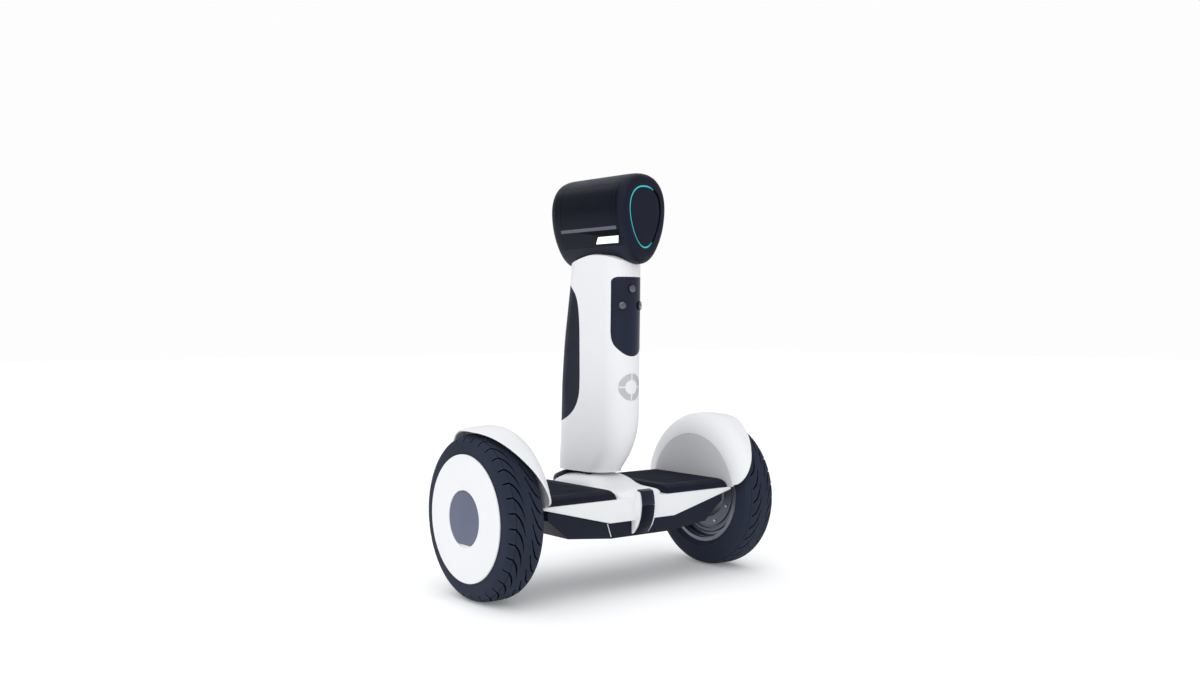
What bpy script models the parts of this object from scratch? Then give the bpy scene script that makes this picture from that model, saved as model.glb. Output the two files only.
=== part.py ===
"""Two-wheeled self-balancing robot: base with footpads and hub-motor wheels, leaning column, turning head.

Metres, +Z up. X runs along the axle, +X to the robot's left; the robot faces -Y.
The origin is on the ground, midway between the wheels. The head is at rest turned a quarter turn,
so that its face looks along -X and its ears lie along Y.
"""

import math

import bmesh
import bpy
from mathutils import Matrix, Vector

GAP = 0.0003

# Wheels
TYRE_RADIUS = 0.131
TYRE_WIDTH = 0.066
TYRE_SECTION = 0.034
TYRE_SQUARENESS = 3.67
TRACK_HALF = 0.2448
AXLE_Z = TYRE_RADIUS
RIM_RADIUS = 0.0897
CAP_RADIUS = 0.1003
CAP_FACE = 0.0369
BADGE_RADIUS = 0.044
STATOR_RADIUS = 0.066
AXLE_RADIUS = 0.008
BEARING_RADIUS = 0.014
WHEEL_STEPS = 36

# Base
DECK_Z = 0.152
COVER_LOW_Z = 0.115
COVER_KINK_X = 0.068
COVER_TIP_X = 0.1990
COVER_TIP_Z = 0.148
COVER_Y = 0.0985
TRAY_Z = 0.0885
TRAY_X = 0.185
TRAY_Y = 0.090
WALL = 0.003
PAD_IN_X = 0.054
PAD_OUT_X = 0.1905
PAD_TOP_Z = 0.1655
SPINE_HALF = 0.051
CLAMP_TOP_Z = 0.1425
LENS_HALF = 0.013
NOSE_HALF = 0.018

# Fenders
FENDER_PANEL_X = 0.196
FENDER_PANEL_RADIUS = 0.107
FENDER_RADIUS = 0.1435
FENDER_ROLL_X = 0.228
FENDER_EDGE_X = 0.276
FENDER_START_DEG = 13.0
FENDER_WALL = 0.003
FENDER_LIP_DROP = 0.0050

# Column and its lean pivot
PIVOT_Z = 0.140
PIVOT_FRONT_Y = 0.020
PIVOT_BACK_Y = 0.1265
COLUMN_BOTTOM_Z = 0.1845
COLUMN_TOP_Z = 0.562
COLUMN_FRONT_RADIUS = 0.034
COLUMN_BACK_RADIUS = 0.039
COLUMN_WALL = 0.0045
POST_Y = 0.046
SKIN = 0.0022
WINDOW_LOW_Z = 0.380
WINDOW_TOP_Z = 0.512
WINDOW_HALF = 0.0305
LENS_RADIUS = 0.0075
SPEAKER_Z = 0.330
SPEAKER_OUTER = 0.022
SPEAKER_INNER = 0.012

# Head, in its own frame: ears along Y, face towards -X, then turned about the neck axis
NECK_Y = -0.0025
HEAD_TURN_DEG = 3.5
HEAD_Z = 0.6076
HEAD_HALF_Z = 0.0752
HEAD_HALF_X = 0.0486
HEAD_EGG = 0.244
HEAD_ROUND = 0.943
HEAD_HALF_Y = 0.0948
HEAD_END_ROUND = 13.0
HEAD_WALL = 0.004
HEAD_END_WALL = 0.013
EAR_HALF_X = 0.0325
EAR_HALF_Z = 0.0502
EAR_Z = 0.6098
EAR_EGG = 0.255
EAR_ROUND = 0.90
RING_HALF = 0.0011
MOUTH_CLEARANCE = 0.0012
FACE_HALF_Y = 0.0800

COLLECTION = "two_wheel_robot"
CUTTERS = "cutters"

WHITE = ("white_shell", (0.86, 0.87, 0.88), 0.35, 0.0)
PANEL_GREY = ("fender_panel", (0.66, 0.66, 0.68), 0.5, 0.0)
BLACK = ("black_plastic", (0.018, 0.019, 0.026), 0.42, 0.0)
GLOSS = ("gloss_black", (0.02, 0.021, 0.03), 0.12, 0.0)
RUBBER = ("pad_rubber", (0.02, 0.021, 0.028), 0.75, 0.0)
TYRE = ("tyre_rubber", (0.035, 0.038, 0.05), 0.7, 0.0)
ALUMINIUM = ("aluminium", (0.62, 0.63, 0.66), 0.35, 0.9)
STEEL = ("steel", (0.5, 0.5, 0.52), 0.3, 1.0)
SLATE = ("slate_badge", (0.115, 0.13, 0.19), 0.4, 0.3)
BOARD = ("circuit_board", (0.03, 0.16, 0.07), 0.5, 0.0)
CELLS = ("battery_wrap", (0.05, 0.12, 0.3), 0.5, 0.0)
TEAL = ("teal_light", (0.03, 0.45, 0.5), 0.3, 0.0)
LAMP_RED = ("rear_lamp", (0.35, 0.02, 0.02), 0.2, 0.0)


def new_collection(name, hidden=False):
    collection = bpy.data.collections.new(name)
    collection.hide_render = hidden
    bpy.context.scene.collection.children.link(collection)
    return collection


def material(spec):
    name, colour, roughness, metallic = spec
    found = bpy.data.materials.get(name)
    if found:
        return found
    made = bpy.data.materials.new(name)
    made.use_nodes = True
    shader = made.node_tree.nodes["Principled BSDF"]
    shader.inputs["Base Color"].default_value = (*colour, 1.0)
    shader.inputs["Roughness"].default_value = roughness
    shader.inputs["Metallic"].default_value = metallic
    return made


def add_object(name, mesh, spec=None):
    """Links the mesh as a part with a material, or as a helper when no material is given."""
    obj = bpy.data.objects.new(name, mesh)
    home = COLLECTION if spec else CUTTERS
    bpy.data.collections[home].objects.link(obj)
    if spec:
        mesh.materials.clear()
        mesh.materials.append(material(spec))
    else:
        obj.hide_render = True
        obj.display_type = "WIRE"
    return obj


def from_bmesh(name, bm, spec=None):
    bmesh.ops.recalc_face_normals(bm, faces=bm.faces)
    mesh = bpy.data.meshes.new(name)
    bm.to_mesh(mesh)
    bm.free()
    return add_object(name, mesh, spec)


def smooth(obj, degrees=35):
    obj.data.shade_smooth()
    obj.data.set_sharp_from_angle(angle=math.radians(degrees))
    return obj


def box(name, low, high, spec=None, bevel=0.0):
    bm = bmesh.new()
    bmesh.ops.create_cube(bm, size=1.0)
    centre = (Vector(low) + Vector(high)) / 2
    size = Vector(high) - Vector(low)
    bmesh.ops.scale(bm, vec=size, verts=bm.verts)
    bmesh.ops.translate(bm, vec=centre, verts=bm.verts)
    if bevel:
        bmesh.ops.bevel(bm, geom=bm.edges[:], offset=bevel, segments=2, affect="EDGES", profile=0.5)
    return from_bmesh(name, bm, spec)


def cylinder(name, radius, low, high, axis, centre, spec=None, steps=32):
    """A cylinder from low to high along the axis letter, through the centre's other two coordinates."""
    bm = bmesh.new()
    bmesh.ops.create_cone(
        bm, cap_ends=True, segments=steps, radius1=radius, radius2=radius, depth=high - low
    )
    turn = {"X": Matrix.Rotation(math.pi / 2, 4, "Y"), "Y": Matrix.Rotation(-math.pi / 2, 4, "X")}
    bmesh.ops.transform(bm, matrix=turn.get(axis, Matrix.Identity(4)), verts=bm.verts)
    place = Vector(centre)
    place["XYZ".index(axis)] = (low + high) / 2
    bmesh.ops.translate(bm, vec=place, verts=bm.verts)
    return from_bmesh(name, bm, spec)


def baked(obj):
    """Replaces the object's mesh by its evaluated one, and drops its modifiers."""
    spec = obj.data.materials[:] if obj.data.materials else []
    graph = bpy.context.evaluated_depsgraph_get()
    graph.update()
    mesh = bpy.data.meshes.new_from_object(obj.evaluated_get(graph))
    obj.modifiers.clear()
    obj.data = mesh
    mesh.materials.clear()
    for made in spec:
        mesh.materials.append(made)
    return obj


def boolean(obj, other, operation, keep=False):
    modifier = obj.modifiers.new(operation.lower(), "BOOLEAN")
    modifier.operation = operation
    modifier.object = other
    modifier.material_mode = "INDEX"
    baked(obj)
    if not keep:
        bpy.data.objects.remove(other)
    return obj


def cut(obj, *others):
    for other in others:
        boolean(obj, other, "DIFFERENCE")
    return obj


def merged(obj):
    """Merges the points that a cut leaves closer together than a thousandth of a millimetre or two."""
    bm = bmesh.new()
    bm.from_mesh(obj.data)
    bmesh.ops.remove_doubles(bm, verts=bm.verts, dist=0.000002)
    bmesh.ops.dissolve_degenerate(bm, edges=bm.edges, dist=0.000002)
    bm.to_mesh(obj.data)
    bm.free()
    return obj


def join(obj, *others):
    for other in others:
        boolean(obj, other, "UNION")
    return obj


def turned(name, profile, centre, direction=1, spec=None, steps=WHEEL_STEPS):
    """A solid turned about an axis along X. The profile lists (radius, distance outward) as a closed loop."""
    bm = bmesh.new()
    verts = [bm.verts.new((radius, 0.0, along)) for radius, along in profile]
    closed = min(radius for radius, _ in profile) > 1e-6
    for first, second in zip(verts, verts[1:] + verts[:1]):
        on_axis = first.co.x < 1e-6 and second.co.x < 1e-6
        if closed or not on_axis:
            bm.edges.new((first, second))
    mesh = bpy.data.meshes.new(name)
    bm.to_mesh(mesh)
    bm.free()
    obj = add_object(name, mesh, spec)
    screw = obj.modifiers.new("turn", "SCREW")
    screw.axis = "Z"
    screw.steps = steps
    screw.render_steps = steps
    screw.use_merge_vertices = True
    screw.merge_threshold = 0.00001
    baked(obj)
    out = bmesh.new()
    out.from_mesh(obj.data)
    turn = Matrix.Rotation(math.pi / 2 * direction, 4, "Y")
    bmesh.ops.transform(out, matrix=Matrix.Translation(centre) @ turn, verts=out.verts)
    bmesh.ops.recalc_face_normals(out, faces=out.faces)
    out.to_mesh(obj.data)
    out.free()
    return smooth(obj)


def prism(name, outline, axis, low, high, spec=None, bevel=0.0, segments=2):
    """A flat outline given in the plane across the axis letter, drawn out from low to high along it."""
    curve = bpy.data.curves.new(name, "CURVE")
    curve.dimensions = "2D"
    curve.fill_mode = "BOTH"
    curve.extrude = (high - low) / 2
    spline = curve.splines.new("POLY")
    spline.points.add(len(outline) - 1)
    for point, (across, up) in zip(spline.points, outline):
        point.co = (across, up, 0.0, 1.0)
    spline.use_cyclic_u = True
    guide = add_object(name + "_guide", curve)
    graph = bpy.context.evaluated_depsgraph_get()
    graph.update()
    mesh = bpy.data.meshes.new_from_object(guide.evaluated_get(graph))
    bpy.data.objects.remove(guide)
    bm = bmesh.new()
    bm.from_mesh(mesh)
    bmesh.ops.remove_doubles(bm, verts=bm.verts, dist=0.00001)
    middle = (low + high) / 2
    frames = {
        "X": Matrix(((0, 0, 1, middle), (1, 0, 0, 0), (0, 1, 0, 0), (0, 0, 0, 1))),
        "Y": Matrix(((1, 0, 0, 0), (0, 0, 1, middle), (0, 1, 0, 0), (0, 0, 0, 1))),
        "Z": Matrix(((1, 0, 0, 0), (0, 1, 0, 0), (0, 0, 1, middle), (0, 0, 0, 1))),
    }
    bmesh.ops.transform(bm, matrix=frames[axis], verts=bm.verts)
    bmesh.ops.dissolve_limit(bm, angle_limit=math.radians(1), verts=bm.verts, edges=bm.edges)
    bmesh.ops.recalc_face_normals(bm, faces=bm.faces)
    if bevel:
        bmesh.ops.bevel(bm, geom=bm.edges[:], offset=bevel, segments=segments, affect="EDGES", profile=0.5)
    return from_bmesh(name, bm, spec)


def loft(name, rings, spec=None):
    """A closed solid through rings of the same number of points, with a fan of faces over each end."""
    bm = bmesh.new()
    made = [[bm.verts.new(point) for point in ring] for ring in rings]
    count = len(rings[0])
    for lower, upper in zip(made, made[1:]):
        for i in range(count):
            j = (i + 1) % count
            bm.faces.new((lower[i], lower[j], upper[j], upper[i]))
    for ring in (made[0], made[-1]):
        bm.faces.new(ring)
    bmesh.ops.triangulate(bm, faces=[face for face in bm.faces if len(face.verts) > 4])
    return smooth(from_bmesh(name, bm, spec))


def mirrored_x(outline):
    """The closed outline made of these points, at positive X from bottom to top, and their mirror."""
    return outline + [(-x, z) for x, z in reversed(outline)]


def signed_power(value, exponent):
    return math.copysign(abs(value) ** exponent, value)


def blend(low, high, share):
    return low + (high - low) * share


def along_points(value, points):
    """Linear reading of a short list of (position, value) pairs."""
    if value <= points[0][0]:
        return points[0][1]
    for (start, first), (end, second) in zip(points, points[1:]):
        if value <= end:
            return blend(first, second, (value - start) / (end - start))
    return points[-1][1]


# ---------------------------------------------------------------- wheels


def tyre_profile(bead_radius):
    half = TYRE_WIDTH / 2
    base = TYRE_RADIUS - TYRE_SECTION
    points = [(bead_radius, half - 0.006)]
    steps = 12
    for i in range(steps + 1):
        angle = math.pi * i / steps
        across = half * signed_power(math.cos(angle), 2 / TYRE_SQUARENESS)
        up = TYRE_SECTION * math.sin(angle) ** (2 / TYRE_SQUARENESS) if 0 < i < steps else 0.0
        points.append((base + up, across))
    points.append((bead_radius, -half + 0.006))
    return points


def build_wheel(side, name):
    centre = Vector((side * TRACK_HALF, 0.0, AXLE_Z))

    def turn(part, profile, spec, steps=WHEEL_STEPS):
        return turned(f"{part}_{name}", profile, centre, side, spec, steps)

    turn("tyre", tyre_profile(RIM_RADIUS + GAP), TYRE, 44)
    disc_out = 0.0300
    disc_in = 0.0260
    lip = -0.0275
    rim = [
        (0.0, disc_out),
        (RIM_RADIUS, disc_out),
        (RIM_RADIUS, lip),
        (0.0815, lip),
        (0.0795, -0.0080),
        (0.0735, -0.0080),
        (0.0735, disc_in),
        (0.0, disc_in),
    ]
    turn("rim", rim, ALUMINIUM)
    cover_out = -0.0126
    cover = [
        (0.0731, -0.0082),
        (0.0731, cover_out),
        (0.0460, cover_out),
        (0.0400, -0.0200),
        (BEARING_RADIUS + GAP, -0.0200),
        (BEARING_RADIUS + GAP, -0.0082),
    ]
    turn("motor_cover", cover, PANEL_GREY)
    bearing = [
        (BEARING_RADIUS, -0.0090),
        (BEARING_RADIUS, -0.0190),
        (AXLE_RADIUS + GAP, -0.0190),
        (AXLE_RADIUS + GAP, -0.0090),
    ]
    turn("wheel_bearing", bearing, STEEL, 32)
    cap_back = 0.0303
    cap_lip = 0.0333
    badge_floor = CAP_FACE - 0.0022
    cap = [
        (0.0, badge_floor),
        (BADGE_RADIUS + GAP, badge_floor),
        (BADGE_RADIUS + GAP, CAP_FACE),
        (CAP_RADIUS - 0.004, CAP_FACE - 0.0004),
        (CAP_RADIUS, CAP_FACE - 0.0022),
        (CAP_RADIUS, cap_lip),
        (0.0885, cap_lip),
        (0.0870, cap_back),
        (0.0, cap_back),
    ]
    turn("wheel_cap", cap, WHITE)
    badge = [
        (0.0, CAP_FACE - 0.0006),
        (BADGE_RADIUS - 0.001, CAP_FACE - 0.0006),
        (BADGE_RADIUS, CAP_FACE - 0.0014),
        (BADGE_RADIUS, badge_floor + GAP),
        (0.0, badge_floor + GAP),
    ]
    turn("hub_badge", badge, SLATE)
    stator = [
        (STATOR_RADIUS, 0.0200),
        (STATOR_RADIUS, -0.0040),
        (AXLE_RADIUS + GAP, -0.0040),
        (AXLE_RADIUS + GAP, 0.0200),
    ]
    turn("stator", stator, STEEL)
    inner, outer = 0.1250, TRACK_HALF + 0.0225
    low, high = sorted((side * inner, side * outer))
    cylinder(f"axle_{name}", AXLE_RADIUS, low, high, "X", centre, STEEL, 24)


# ---------------------------------------------------------------- base


def tray_outline(inset):
    """Lower tray seen from the front, at positive X, from the bottom centre up to its open rim."""
    rim_kink = COVER_LOW_Z - GAP
    slope = (COVER_TIP_Z - COVER_LOW_Z) / (COVER_TIP_X - COVER_KINK_X)
    side = TRAY_X - inset
    return [
        (0.060, TRAY_Z + inset),
        (0.146 - inset * 0.5, TRAY_Z + 0.0085 + inset),
        (0.166 - inset * 0.7, 0.1150 + inset * 0.7),
        (side, 0.1290 + inset * 0.6),
        (side, rim_kink + slope * (side - COVER_KINK_X) - GAP),
        (COVER_KINK_X, rim_kink),
    ]


def build_tray():
    tray = prism("bottom_tray", mirrored_x(tray_outline(0.0)), "Y", -TRAY_Y, TRAY_Y, BLACK)
    hollow_top = 0.200
    hollow = tray_outline(WALL)[:4]
    hollow.append((TRAY_X - WALL, hollow_top))
    inside = prism("tray_hollow", mirrored_x(hollow), "Y", -TRAY_Y + WALL, TRAY_Y - WALL)
    notches = [
        box(
            f"axle_notch_{side}",
            sorted_corner(side * 0.150, -0.0125, 0.1140),
            sorted_corner(side * 0.200, 0.0125, 0.200, side * 0.150),
        )
        for side in (-1, 1)
    ]
    return cut(tray, inside, *notches)


def sorted_corner(x, y, z, other_x=None):
    """The low corner when other_x is None, else the high one, for a box whose X ends may be swapped."""
    if other_x is None:
        return (min(x, x * 200 / 150), y, z)
    return (max(x, other_x), y, z)


def spine_ring(y, half, crown, shoulder):
    """Cross-section of the raised middle between the footpads, seen from the front."""
    base = DECK_Z - 0.004
    steps = 10
    points = [(-half, y, base)]
    for i in range(steps + 1):
        share = -1 + 2 * i / steps
        rise = math.sqrt(max(0.0, 1 - abs(share) ** 3.2))
        points.append((share * (half - 0.002), y, blend(shoulder, crown, rise)))
    points.append((half, y, base))
    return points


def build_spine():
    stations = [
        (-0.0970, 0.0300, 0.1545, 0.1535),
        (-0.0940, 0.0420, 0.1600, 0.1535),
        (-0.0850, 0.0485, 0.1640, 0.1545),
        (-0.0480, SPINE_HALF, 0.1650, 0.1560),
        (-0.0300, SPINE_HALF, 0.1695, 0.1565),
        (-0.0130, SPINE_HALF, 0.1780, 0.1570),
        (0.0050, SPINE_HALF, 0.1812, 0.1570),
        (0.0400, SPINE_HALF, 0.1812, 0.1560),
        (0.0700, SPINE_HALF, 0.1780, 0.1550),
        (0.0900, SPINE_HALF, 0.1710, 0.1545),
        (0.0970, 0.0420, 0.1620, 0.1535),
    ]
    return loft("spine", [spine_ring(*station) for station in stations], WHITE)


NOSE_CURVE = [
    (-0.0985, 0.1650),
    (-0.1070, 0.1630),
    (-0.1110, 0.1530),
    (-0.1125, 0.1405),
    (-0.1105, 0.1240),
    (-0.1040, 0.1060),
    (-0.0920, 0.0905),
]


def nose_points(depth):
    """The front band's outline, set back towards the body by the depth."""
    moved = []
    for i, (y, z) in enumerate(NOSE_CURVE):
        before = NOSE_CURVE[max(i - 1, 0)]
        after = NOSE_CURVE[min(i + 1, len(NOSE_CURVE) - 1)]
        along = Vector((after[0] - before[0], after[1] - before[1])).normalized()
        moved.append((y - along.y * depth, z + along.x * depth))
    return moved


def build_nose():
    back_y = -0.080
    outline = nose_points(0.0026) + [(back_y, 0.0915), (back_y, 0.160)]
    return prism("nose", outline, "X", -NOSE_HALF, NOSE_HALF, WHITE)


def build_front_lenses():
    outer = nose_points(0.0)
    inner = nose_points(0.0022)
    fold = 3
    spans = {"front_lens_upper": (0, fold), "front_lens_lower": (fold, len(outer) - 1)}
    for name, (start, end) in spans.items():
        outline = outer[start : end + 1] + inner[start : end + 1][::-1]
        lens = prism(name, outline, "X", -LENS_HALF, LENS_HALF, GLOSS)
        if start == fold:
            seam = NOSE_CURVE[fold][1]
            cut(lens, box("seam", (-0.02, -0.12, seam - 0.0006), (0.02, -0.10, seam + 0.001)))
        smooth(lens)


def build_top_cover():
    outline = mirrored_x(
        [
            (COVER_KINK_X, COVER_LOW_Z),
            (COVER_TIP_X, COVER_TIP_Z),
            (COVER_TIP_X, DECK_Z),
        ]
    )
    cover = prism("top_cover", outline, "Y", -COVER_Y, COVER_Y, WHITE, 0.0012, 1)
    join(cover, build_spine(), build_nose())
    tray_seat = prism(
        "tray_seat", mirrored_x([(0.07, 0.06), (0.07, COVER_LOW_Z)]), "Y", -TRAY_Y - GAP, -0.070
    )
    hollow = prism(
        "cover_hollow",
        mirrored_x([(0.066, 0.100), (0.128, 0.131), (0.128, DECK_Z - WALL), (0.040, DECK_Z - WALL)]),
        "Y",
        -0.082,
        0.082,
    )
    post_hole = box("post_hole", (-0.026, PIVOT_FRONT_Y - 0.006, 0.10), (0.026, 0.104, 0.30))
    window = box("post_window", (-0.0335, 0.0785, 0.1415), (0.0335, 0.104, 0.30))
    cut(cover, tray_seat, hollow, post_hole, window)
    for side in (-1, 1):
        near, far = sorted((side * 0.1225, side * 0.1850))
        cut(cover, box("clamp_room", (near, -0.0130, 0.100), (far, 0.0130, CLAMP_TOP_Z + GAP)))
    port = box("port_hole", (-0.0525, 0.080, 0.1225), (-0.0355, 0.110, 0.1375))
    button = cylinder("button_hole", 0.0085, 0.080, 0.110, "Y", (0.044, 0, 0.130))
    lamp = box("lamp_hole", (-0.0205, 0.0960, 0.1190), (0.0205, 0.110, 0.1290))
    cut(cover, port, button, lamp)
    return smooth(cover, 30)


def build_footpads():
    section = [
        (-0.0970, DECK_Z + GAP),
        (-0.0970, 0.1550),
        (-0.0910, 0.1620),
        (-0.0750, PAD_TOP_Z),
        (0.0920, PAD_TOP_Z),
        (0.1000, 0.1620),
        (0.1030, DECK_Z + GAP),
    ]
    for side, name in ((1, "left"), (-1, "right")):
        low, high = sorted((side * PAD_IN_X, side * PAD_OUT_X))
        pad = prism(f"footpad_{name}", section, "X", low, high, RUBBER, 0.0012, 1)
        well_low, well_high = sorted((side * 0.075, side * 0.165))
        cut(pad, box("well", (well_low, -0.050, 0.150), (well_high, 0.050, 0.1565)))
        plate_low = well_low + 0.0005
        plate_high = well_high - 0.0005
        box(
            f"foot_sensor_{name}",
            (plate_low, -0.0495, DECK_Z + GAP),
            (plate_high, 0.0495, 0.1560),
            ALUMINIUM,
        )


def build_inside_base():
    frame = box("chassis_frame", (-0.1230, -0.060, 0.1005), (0.1230, 0.076, 0.1045), ALUMINIUM)
    cradle = box("cradle", (-0.0300, 0.0220, 0.1045), (0.0300, 0.0700, 0.1180))
    bore = cylinder("cradle_bore", 0.0190, 0.0, 0.1, "Y", (0, 0, PIVOT_Z))
    join(frame, cradle)
    cut(frame, bore)
    box("battery_pack", (-0.1050, -0.0580, 0.1048), (-0.0330, 0.0700, 0.1275), CELLS, 0.002)
    box("control_board", (0.0370, -0.0580, 0.1080), (0.1080, 0.0600, 0.1096), BOARD)
    for side, name in ((1, "left"), (-1, "right")):
        low, high = sorted((side * 0.1240, side * 0.1810))
        block = box(f"axle_clamp_{name}", (low, -0.0120, 0.1170), (high, 0.0120, CLAMP_TOP_Z), ALUMINIUM)
        bore = cylinder("bore", AXLE_RADIUS + GAP, -0.3, 0.3, "X", (0, 0, AXLE_Z), None, 24)
        cut(block, bore)


def build_rear():
    lamp = box("rear_light", (-0.0200, 0.0963, 0.1195), (0.0200, 0.0990, 0.1285), LAMP_RED, 0.0006)
    smooth(lamp)
    socket = box("charge_socket", (-0.0520, 0.0830, 0.1230), (-0.0360, 0.0945, 0.1370), BLACK)
    cut(socket, cylinder("socket_hole", 0.0040, 0.0860, 0.100, "Y", (-0.044, 0, 0.130), None, 20))
    box("charge_cover", (-0.0532, COVER_Y + GAP, 0.1215), (-0.0348, 0.1012, 0.1382), RUBBER, 0.0008)
    button = cylinder("power_button", 0.0080, 0.0850, 0.1005, "Y", (0.044, 0, 0.130), BLACK)
    smooth(button)


def build_pivot():
    housing = loft(
        "pivot_housing",
        [housing_ring(*station) for station in HOUSING_STATIONS],
        BLACK,
    )
    slot = prism(
        "lean_slot",
        [(-0.0150, 0.130), (0.0150, 0.130), (0.0285, 0.185), (-0.0285, 0.185)],
        "Y",
        PIVOT_FRONT_Y + 0.008,
        0.064,
    )
    bore = cylinder("pivot_bore", 0.0140, -0.1, 0.070, "Y", (0, 0, PIVOT_Z))
    room = cylinder("post_room", 0.0185, 0.0260, 0.0660, "Y", (0, 0, PIVOT_Z))
    pin_bore = cylinder("pin_bore", 0.0063, 0.060, 0.110, "Y", (0, 0, PIVOT_Z), None, 24)
    cut(housing, slot, bore, room, pin_bore)
    cylinder("pivot_shaft", 0.0060, PIVOT_FRONT_Y + 0.001, 0.1000, "Y", (0, 0, PIVOT_Z), STEEL, 24)


HOUSING_STATIONS = [
    (0.0200, 0.0240, 0.1230, 0.1780),
    (0.0300, 0.0250, 0.1230, 0.1815),
    (0.0780, 0.0250, 0.1230, 0.1820),
    (0.0800, 0.0250, 0.1440, 0.1820),
    (0.0830, 0.0300, 0.1440, 0.1820),
    (0.0990, 0.0320, 0.1440, 0.1795),
    (0.1150, 0.0290, 0.1440, 0.1740),
    (0.1240, 0.0220, 0.1480, 0.1695),
    (0.1295, 0.0120, 0.1540, 0.1640),
]


def housing_ring(y, half, low, high):
    middle = (low + high) / 2
    tall = (high - low) / 2
    steps = 24
    points = []
    for i in range(steps):
        angle = 2 * math.pi * (i + 0.5) / steps
        across = half * signed_power(math.cos(angle), 0.6)
        up = tall * signed_power(math.sin(angle), 0.6)
        points.append((across, y, middle + up))
    return points


# ---------------------------------------------------------------- fenders


def fender_edge(angle_deg):
    """How far out the fender reaches at this angle above the horizontal, front or back."""
    from_front = min(angle_deg, 180 - angle_deg)
    share = (from_front - FENDER_START_DEG) / (84.0 - FENDER_START_DEG)
    return max(0.0, min(1.0, share)) ** 0.54


def fender_section(angle_deg, side):
    """Closed strip from the panel's rim over the rounded shoulder to the open edge."""
    steps = 8
    reach = fender_edge(angle_deg)
    roll = math.pi / 2 * (FENDER_RADIUS - FENDER_PANEL_RADIUS)
    flat = FENDER_EDGE_X - FENDER_ROLL_X
    total = 0.0060 + reach * (roll + flat - 0.0060)
    outer = []
    inner = []
    for i in range(steps + 1):
        distance = total * i / steps
        turn = min(distance / roll, 1.0) * math.pi / 2
        extra = max(distance - roll, 0.0)
        across = FENDER_ROLL_X - (FENDER_ROLL_X - FENDER_PANEL_X) * math.cos(turn) + extra
        radius = FENDER_PANEL_RADIUS + (FENDER_RADIUS - FENDER_PANEL_RADIUS) * math.sin(turn)
        radius -= FENDER_LIP_DROP * (extra / flat) ** 2
        normal = Vector((-math.cos(turn), math.sin(turn)))
        outer.append((across, radius))
        inner.append((across - normal.x * FENDER_WALL, radius - normal.y * FENDER_WALL))
    angle = math.radians(angle_deg)
    return [
        (side * across, -radius * math.cos(angle), AXLE_Z + radius * math.sin(angle))
        for across, radius in outer + inner[::-1]
    ]


def build_fender(side, name):
    count = 26
    start, end = FENDER_START_DEG, 180 - FENDER_START_DEG
    rings = [fender_section(blend(start, end, i / count), side) for i in range(count + 1)]
    loft(f"fender_{name}", rings, WHITE)
    radius = FENDER_PANEL_RADIUS - GAP
    base_angle = math.asin((DECK_Z + GAP - AXLE_Z) / radius)
    steps = 36
    arc = []
    for i in range(steps + 1):
        angle = blend(base_angle, math.pi - base_angle, i / steps)
        arc.append((-radius * math.cos(angle), AXLE_Z + radius * math.sin(angle)))
    low, high = sorted((side * (FENDER_PANEL_X - 0.0002), side * (FENDER_PANEL_X + FENDER_WALL)))
    smooth(prism(f"fender_panel_{name}", arc, "X", low, high, PANEL_GREY))


# ---------------------------------------------------------------- column

COLUMN_FRONT = [
    (0.183, -0.0185),
    (0.188, -0.0205),
    (0.200, -0.0310),
    (0.220, -0.0470),
    (0.243, -0.0590),
    (0.260, -0.0645),
    (0.280, -0.0675),
    (0.330, -0.0685),
    (0.420, -0.0700),
    (0.520, -0.0715),
    (0.562, -0.0715),
]
COLUMN_BACK = [
    (0.183, 0.1085),
    (0.200, 0.1075),
    (0.260, 0.1030),
    (0.330, 0.1000),
    (0.400, 0.0930),
    (0.460, 0.0830),
    (0.520, 0.0735),
    (0.562, 0.0705),
]

# Height of the column's domed top at distances from an upright axis
CROWN_AXIS = [
    (0.0, 0.5550),
    (0.0200, 0.5535),
    (0.0340, 0.5500),
    (0.0476, 0.5480),
    (0.0581, 0.5445),
    (0.0639, 0.5410),
    (0.0669, 0.5384),
    (0.0690, 0.5358),
    (0.0780, 0.5270),
]
CROWN_REAR_Y = -0.012
CROWN_REAR = [
    (0.0, 0.5580),
    (0.0300, 0.5520),
    (0.0452, 0.5475),
    (0.0576, 0.5432),
    (0.0725, 0.5379),
    (0.0860, 0.5310),
]


def column_ring(level, inset, arc_steps=11):
    """Two arcs of unlike radius joined by straight sides."""
    front = along_points(level, COLUMN_FRONT) + inset
    back = along_points(level, COLUMN_BACK) - inset
    front_radius = COLUMN_FRONT_RADIUS - inset
    back_radius = COLUMN_BACK_RADIUS - inset
    points = []
    for i in range(arc_steps):
        angle = -math.pi + math.pi * i / (arc_steps - 1)
        points.append((front_radius * math.cos(angle), front + front_radius * (1 + math.sin(angle))))
    for i in range(arc_steps):
        angle = math.pi * i / (arc_steps - 1)
        points.append((back_radius * math.cos(angle), back - back_radius * (1 - math.sin(angle))))
    return [(x, y, level) for x, y in points]


def column_solid(name, inset, low, high, spec=None):
    inner_levels = [0.200, 0.220, 0.243, 0.260, 0.280, 0.330, 0.400, 0.460, 0.520]
    levels = [low] + [z for z in inner_levels if low < z < high] + [high]
    return loft(name, [column_ring(level, inset) for level in levels], spec)


def outline_span(outline):
    """The lowest and highest level that a skin piece's outline needs, with a little room."""
    levels = [z for _, z in outline]
    return min(levels) - 0.006, max(levels) + 0.006


def skin_piece(name, outline, axis, low, high, spec):
    """The part of the column's outer skin that lies inside an outline seen along an axis."""
    bottom, top = outline_span(outline)
    piece = column_solid(name, 0.0, bottom, top, spec)
    core = column_solid("core", SKIN, bottom - 0.004, top + 0.004)
    cut(piece, core)
    return boolean(piece, prism("limit", outline, axis, low, high), "INTERSECT")


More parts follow.
